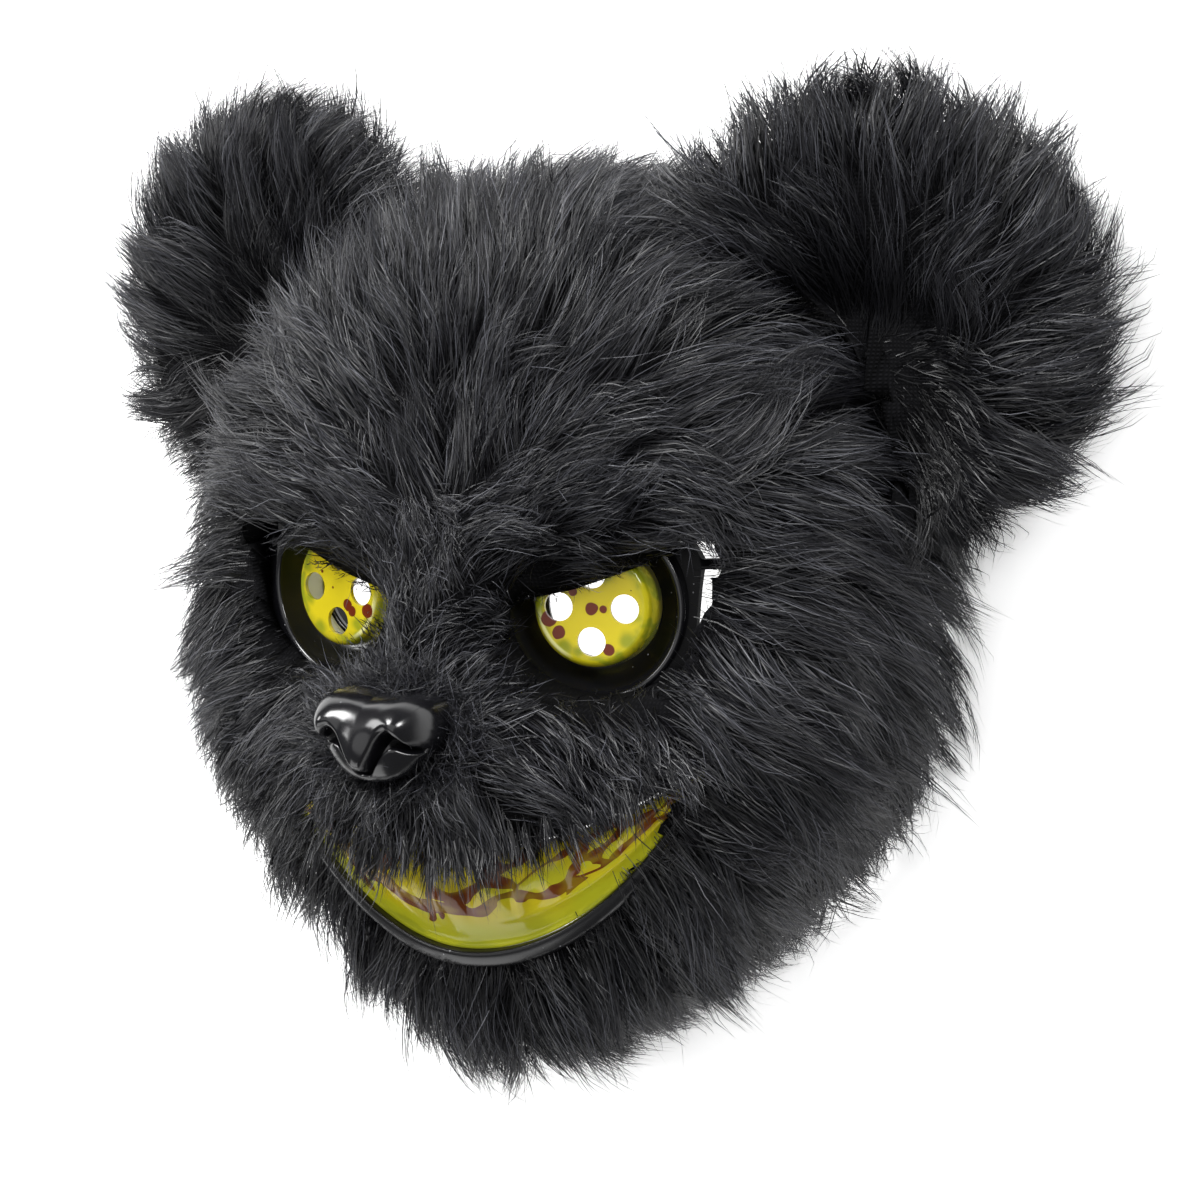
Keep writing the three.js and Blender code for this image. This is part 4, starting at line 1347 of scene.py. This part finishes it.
def drilled(thing):
    """Cuts the four peep holes through a lens in its own frame."""
    drills = bmesh.new()
    for quarter in range(4):
        turn = quarter * math.pi / 2
        place = Vector((math.cos(turn), math.sin(turn), 0)) * PEEP_CIRCLE * MM
        bmesh.ops.create_cone(
            drills,
            cap_ends=True,
            segments=48,
            radius1=PEEP_RADIUS * MM,
            radius2=PEEP_RADIUS * MM,
            depth=6 * MM,
            matrix=Matrix.Translation(place),
        )
    data = bpy.data.meshes.new("drills")
    drills.to_mesh(data)
    drills.free()
    drill = in_scene("drills", data)
    cut = thing.modifiers.new("peep_holes", "BOOLEAN")
    cut.object = drill
    cut.operation = "DIFFERENCE"
    cut.solver = "EXACT"
    bpy.context.view_layer.update()
    cut_thing = thing.evaluated_get(bpy.context.evaluated_depsgraph_get())
    done = bpy.data.meshes.new_from_object(cut_thing)
    thing.modifiers.clear()
    thing.data = done
    bpy.data.objects.remove(drill)
    done.set_sharp_from_angle(angle=SHARP)


def add_eye(side, word, red_spots, green_spots):
    """A socket and its lens."""
    place = eye_place(side)
    socket = grid_mesh(f"socket_{word}", turned(SOCKET_PROFILE, ROUND)[::-1], black_plastic, True, True)
    socket.matrix_world = place
    part_of_mask(socket, "face_shell")
    film = lens_material(f"{word}_eye_film", -side, red_spots, green_spots)
    lens = grid_mesh(f"lens_{word}", turned(LENS_PROFILE, ROUND), film, True, True)
    drilled(lens)
    lens.matrix_world = place
    part_of_mask(lens, f"eye_lens_{word}")


add_eye(1, "right", RED_RIGHT, GREEN_RIGHT)
add_eye(-1, "left", RED_LEFT, GREEN_LEFT)

# %% [markdown]
# ## Grin
#
# The lip is a raised band of the plastic face, thickest at the middle of the chin. Behind it lies one sheet
# of film, pressed into wavy teeth. Both follow the two curves of the mouth that the fur makes room for.

# %% Lip and pressed teeth
LIP_THICK, LIP_PROUD = 6.2, 14.0  # mm
UPPER_LIP_LOWER = 8.0  # mm: how much lower the band lies above the mouth, under the fringe
LIP_NARROWS = 0.65  # the share of its thickness that the lip loses at the corners
# the band's section: the share of its thickness from the inside out, and mm over its crest
LIP_ROUND = [
    (1, -4.6),
    (0.97, -3.1),
    (0.84, -1.7),
    (0.62, -0.7),
    (0.38, -0.1),
    (0.2, 0),
    (0.07, -0.5),
    (0, -1.9),
]
FILM_THICK, FILM_BELOW = 1.6, 5.4  # mm: the film's own thickness, and how far it lies under the lip's crest
TOOTH_WIDE, TOOTH_TALL = 15.0, 2.4  # mm
GRIN_SHARE = 0.96  # the film reaches so far towards the mouth's corners


def mouth_loop(lip_share, steps=16, per=8):
    """The mouth's edge grown by a share of the lip, as one smooth line along each lip, (n, 2) in mm."""
    edge = []
    for side, height in ((-1, lower_edge), (1, upper_edge)):
        share = side * np.cos(np.pi * np.arange(steps) / steps)
        edge.append(np.column_stack([MOUTH["half"] * share, height(share)]))
    edge = np.vstack(edge)
    along = unit(np.roll(edge, -1, 0) - np.roll(edge, 1, 0))
    margin = LIP_THICK * (1 - LIP_NARROWS * (edge[:, :1] / MOUTH["half"]) ** 2) * lip_share
    margin[[0, steps]] *= 3
    grown = edge + np.column_stack([along[:, 1], -along[:, 0]]) * margin
    lower = smooth_through(grown[: steps + 1], per)
    upper = smooth_through([*grown[steps:], grown[0]], per)
    return np.vstack([lower[:-1], upper[:-1]])


def add_lip():
    """The raised band: up its outer side, over a round crest and down inside."""
    inner, outer = mouth_loop(0), mouth_loop(1)
    ground = plastic_height(inner[:, 0], inner[:, 1])
    half = len(inner) // 2
    on_top = np.zeros(len(inner))
    on_top[half:] = np.sin(np.pi * np.arange(len(inner) - half) / (len(inner) - half)) ** 0.5
    crest = ground + LIP_PROUD - UPPER_LIP_LOWER * on_top
    section = [(1, -LIP_PROUD - 2.5), (1, -LIP_PROUD * 0.6), *smooth_through(LIP_ROUND, 3)]
    section += [(0, -LIP_PROUD / 2), (0, -LIP_PROUD - 0.5)]
    rows = []
    for share, down in section:
        flat = inner + (outer - inner) * share
        rows.append(np.column_stack([flat[:, 0], flat[:, 1] + EYE_LINE, crest + down]))
    lip = grid_mesh("lip", np.array(rows) * MM, lip_plastic, True, True)
    part_of_mask(lip, "face_shell")


def add_grin():
    """The pressed sheet behind the lip: a front and a back that meet along its edges."""
    along, across = 200, 32
    share = -np.cos(np.linspace(0.02, 0.98, along) * np.pi) * GRIN_SHARE
    t = np.linspace(0, 1, across)[None]
    x = MOUTH["half"] * share[:, None] + 0 * t
    low, high = lower_edge(share) + 0.2, upper_edge(share) - 0.75
    y = low[:, None] + (high - low)[:, None] * t
    bulge = 4 * np.sin(np.pi * t) + 3.2 * np.exp(-t / 0.06)
    tucked = 5.5 * np.exp(-(1 - t) / 0.07)  # the top edge dips under the fringe
    lean = 0.6 * np.sin(x / 11)
    tooth = np.abs(np.cos(np.pi * (x + 3 * lean) / TOOTH_WIDE)) ** 0.7
    gum = 1 / (1 + np.exp(-(t - 0.42 - 0.06 * np.cos(2 * np.pi * x / TOOTH_WIDE)) * 16))
    teeth = TOOTH_TALL * tooth * gum * np.sin(np.pi * t) ** 0.6
    crease = 1.3 * np.exp(-(((t - 0.30) / 0.05) ** 2)) * np.clip((x - 10) / 30, 0, 1)
    folds = 0.35 * np.sin(x / 3.1 + 4 * t) * np.sin(np.pi * t)
    front = plastic_height(x, y) + LIP_PROUD - FILM_BELOW + bulge + teeth + crease + folds - tucked
    back = front - FILM_THICK
    u = np.linspace(0, 1, along)[:, None] + 0 * t
    fronts_and_backs = ((x, x), (y + EYE_LINE, y + EYE_LINE), (front, back))
    grid = np.stack([np.hstack([a, b[:, ::-1]]) for a, b in fronts_and_backs], 2)
    uv = np.stack([np.hstack([u, u]), np.hstack([t + 0 * u, t[:, ::-1] + 0 * u])], 2)
    sheet = grid_mesh("grin", grid * MM, grin_material(), False, True, uv)
    part_of_mask(sheet, "mouth_insert")


add_lip()
add_grin()

# %% [markdown]
# ## Nose
#
# The nose is one glossy casting. Its pad has a lobe on each side and narrows to a rounded V in the middle.
# Under the pad's rolled edge runs a dark hollow, wide at the nostrils and narrow along the V, and below that
# a smooth plate. Heights on a plain grid would make these edges ragged, so the grid's rows follow them.

# %% The nose as heights on a grid that follows its edges
NOSE_DEEP = 30.0  # mm over the plastic face
# half of each line, from the middle out, in mm from the nose's middle
NOSE_TOP = [(0, 11.6), (7, 12.4), (13, 12.6), (17.4, 10.6), (19.2, 7.4), (19.6, 4)]
NOSE_BOTTOM = [(0, -12.7), (5, -12.2), (9.5, -10.5), (13.6, -7.2), (17, -3), (19.2, 0.8), (19.6, 4)]
PAD_EDGE = [
    (0, -8.8),
    (1.6, -8.3),
    (4.2, -3.6),
    (6.8, 1.4),
    (9.8, 3.6),
    (12.6, 1.8),
    (15.2, -0.8),
    (19.6, -1.4),
]
PLATE_EDGE = [
    (0, -10.2),
    (2.2, -9.6),
    (5.0, -5.6),
    (7.6, -2.2),
    (9.8, -1.2),
    (13, -2.6),
    (16.4, -3.4),
    (19.6, -3),
]
PAD_ROLL, PLATE_ROLL = 3.4, 1.3  # mm over which the edges round off
SKIRT = [14.0, 8.0, 4.0, 1.5]  # twice the mm by which the rows round the nose drop into the fur


def line_at(points, side):
    """The height of a smooth line at distances from the middle."""
    x, y = smooth_through(points, 12).T
    return np.interp(side, np.maximum.accumulate(x), y)


def bump(x, y, at, wide, tall, high):
    """A smooth hump."""
    return high * np.exp(-(((x - at[0]) / wide) ** 2) - ((y - at[1]) / tall) ** 2)


def rolled(depth):
    """How far a rounded edge has fallen, from 0 before it to 1 where it is upright."""
    return 1 - np.sqrt(1 - np.clip(depth, 0, 1) ** 2)


def eased(value):
    """A smooth step from 0 to 1."""
    value = np.clip(value, 0, 1)
    return value * value * (3 - 2 * value)


def nose_front(x, y):
    """The nose's height over its foot at places from its middle, in mm."""
    side = np.abs(x)
    turn = np.arctan2(side, y)
    rim = np.vstack([smooth_through(NOSE_TOP, 12), smooth_through(NOSE_BOTTOM, 12)[::-1]])
    rim_turn = np.arctan2(rim[:, 0], rim[:, 1])
    share = np.clip(np.hypot(x, y) / np.interp(turn, rim_turn, np.hypot(*rim.T)), 0, 1)
    pad_edge, plate_edge = line_at(PAD_EDGE, side), line_at(PLATE_EDGE, side)
    pillow = NOSE_DEEP - 11 * rolled(share**1.6) - 0.009 * x * x
    kept = 1 - share**8
    lobes = bump(side, y, (13.4, 5.2), 5.6, 5.0, 3.0)
    ridge = bump(x, y, (0, -3), 4, 8, 1.2) - bump(x, y, (0, 9), 7, 5, 1.3)
    pad = pillow + kept * (lobes + ridge - 3.4 * rolled((pad_edge + PAD_ROLL - y) / PAD_ROLL))
    plate = pillow - kept * (2.6 + 1.3 * rolled((y - plate_edge + PLATE_ROLL) / PLATE_ROLL))
    nostril = bump(side, y, (10.2, 0.6), 5.0, 3.4, 4.5) - bump(side, y, (10.8, 1.4), 3.2, 0.9, 3.0)
    hollow = pillow - kept * (7.4 + nostril)
    height = plate + (hollow - plate) * eased((y - plate_edge) / 0.7)
    return height + (pad - height) * eased((y - pad_edge) / 0.7 + 1)


def add_nose():
    """Columns from side to side, each with rows along the plate, the hollow, the rolled edge and the pad."""
    columns = 150
    x = NOSE_TOP[-1][0] * np.sin(np.linspace(-np.pi / 2, np.pi / 2, columns))
    side = np.abs(x)
    top, bottom = line_at(NOSE_TOP, side), line_at(NOSE_BOTTOM, side)
    top = np.maximum(top, bottom)
    pad_edge, plate_edge = line_at(PAD_EDGE, side), line_at(PLATE_EDGE, side)
    knots = [bottom, plate_edge - PLATE_ROLL, plate_edge, pad_edge - 0.7, pad_edge, pad_edge + PAD_ROLL, top]
    knots = [np.clip(k, bottom, top) for k in knots]
    rows = []
    for start, end, steps in zip(knots, knots[1:], (12, 5, 9, 4, 9, 14)):
        for k in range(steps):
            rows.append(start + (end - start) * k / steps)
    rows.append(top)
    y = np.array(rows)
    across = np.broadcast_to(x, y.shape)
    grid = np.stack([across, y, nose_front(across, y)], 2)
    drops = np.array(SKIRT)[:, None]
    below, above = (np.repeat(grid[k][None], 4, 0) for k in (0, -1))
    below[:, :, 2] -= drops / 2
    above[:, :, 2] -= drops[::-1] / 2
    grid = np.vstack([below, grid, above])
    foot = plastic_height(np.array(0.0), np.array(NOSE_Y)) + 0.5
    grid += np.array([0, NOSE_Y + EYE_LINE, foot])
    part_of_mask(grid_mesh("glossy_nose", grid * MM, black_plastic), "nose")


add_nose()

# %% [markdown]
# ## Face sheet
#
# The rest of the plastic face lies under the fur and shows only beside the sockets and from behind. The
# frame's own sheet is kept for it, without the facets of the sockets and of the lip, which the smooth pieces
# replace.


# %% Keep the sheet of the plastic face
def inside_loop(loop, x, y):
    """True where a place lies inside a closed loop of points."""
    ahead = np.roll(loop, -1, 0)
    crosses = (loop[:, 1] > y) != (ahead[:, 1] > y)
    share = (y - loop[:, 1]) / (ahead[:, 1] - loop[:, 1] + 1e-12)
    at = loop[:, 0] + share * (ahead[:, 0] - loop[:, 0])
    return bool((crosses & (x < at)).sum() % 2)


def add_sheet():
    """The frame's plastic face without the facets that the smooth pieces stand for."""
    mesh = welded("face_shell")
    loop = mouth_loop(1.04)
    eyes = [eye_place(side).inverted() for side in (1, -1)]
    reach_in = (SOCKET_RADIUS + 0.04) * MM
    gone = []
    for face in mesh.faces:
        centre = face.calc_center_median()
        in_socket = any(all((into @ v.co).xy.length < reach_in for v in face.verts) for into in eyes)
        if in_socket or inside_loop(loop, centre.x / MM, centre.y / MM - EYE_LINE):
            gone.append(face)
    bmesh.ops.delete(mesh, geom=gone, context="FACES")
    data = bpy.data.meshes.new("face_sheet")
    mesh.to_mesh(data)
    mesh.free()
    data.materials.clear()
    data.materials.append(sheet_plastic)
    data.shade_smooth()
    data.set_sharp_from_angle(angle=SHARP)
    part_of_mask(in_scene("face_sheet", data), "face_shell")


add_sheet()
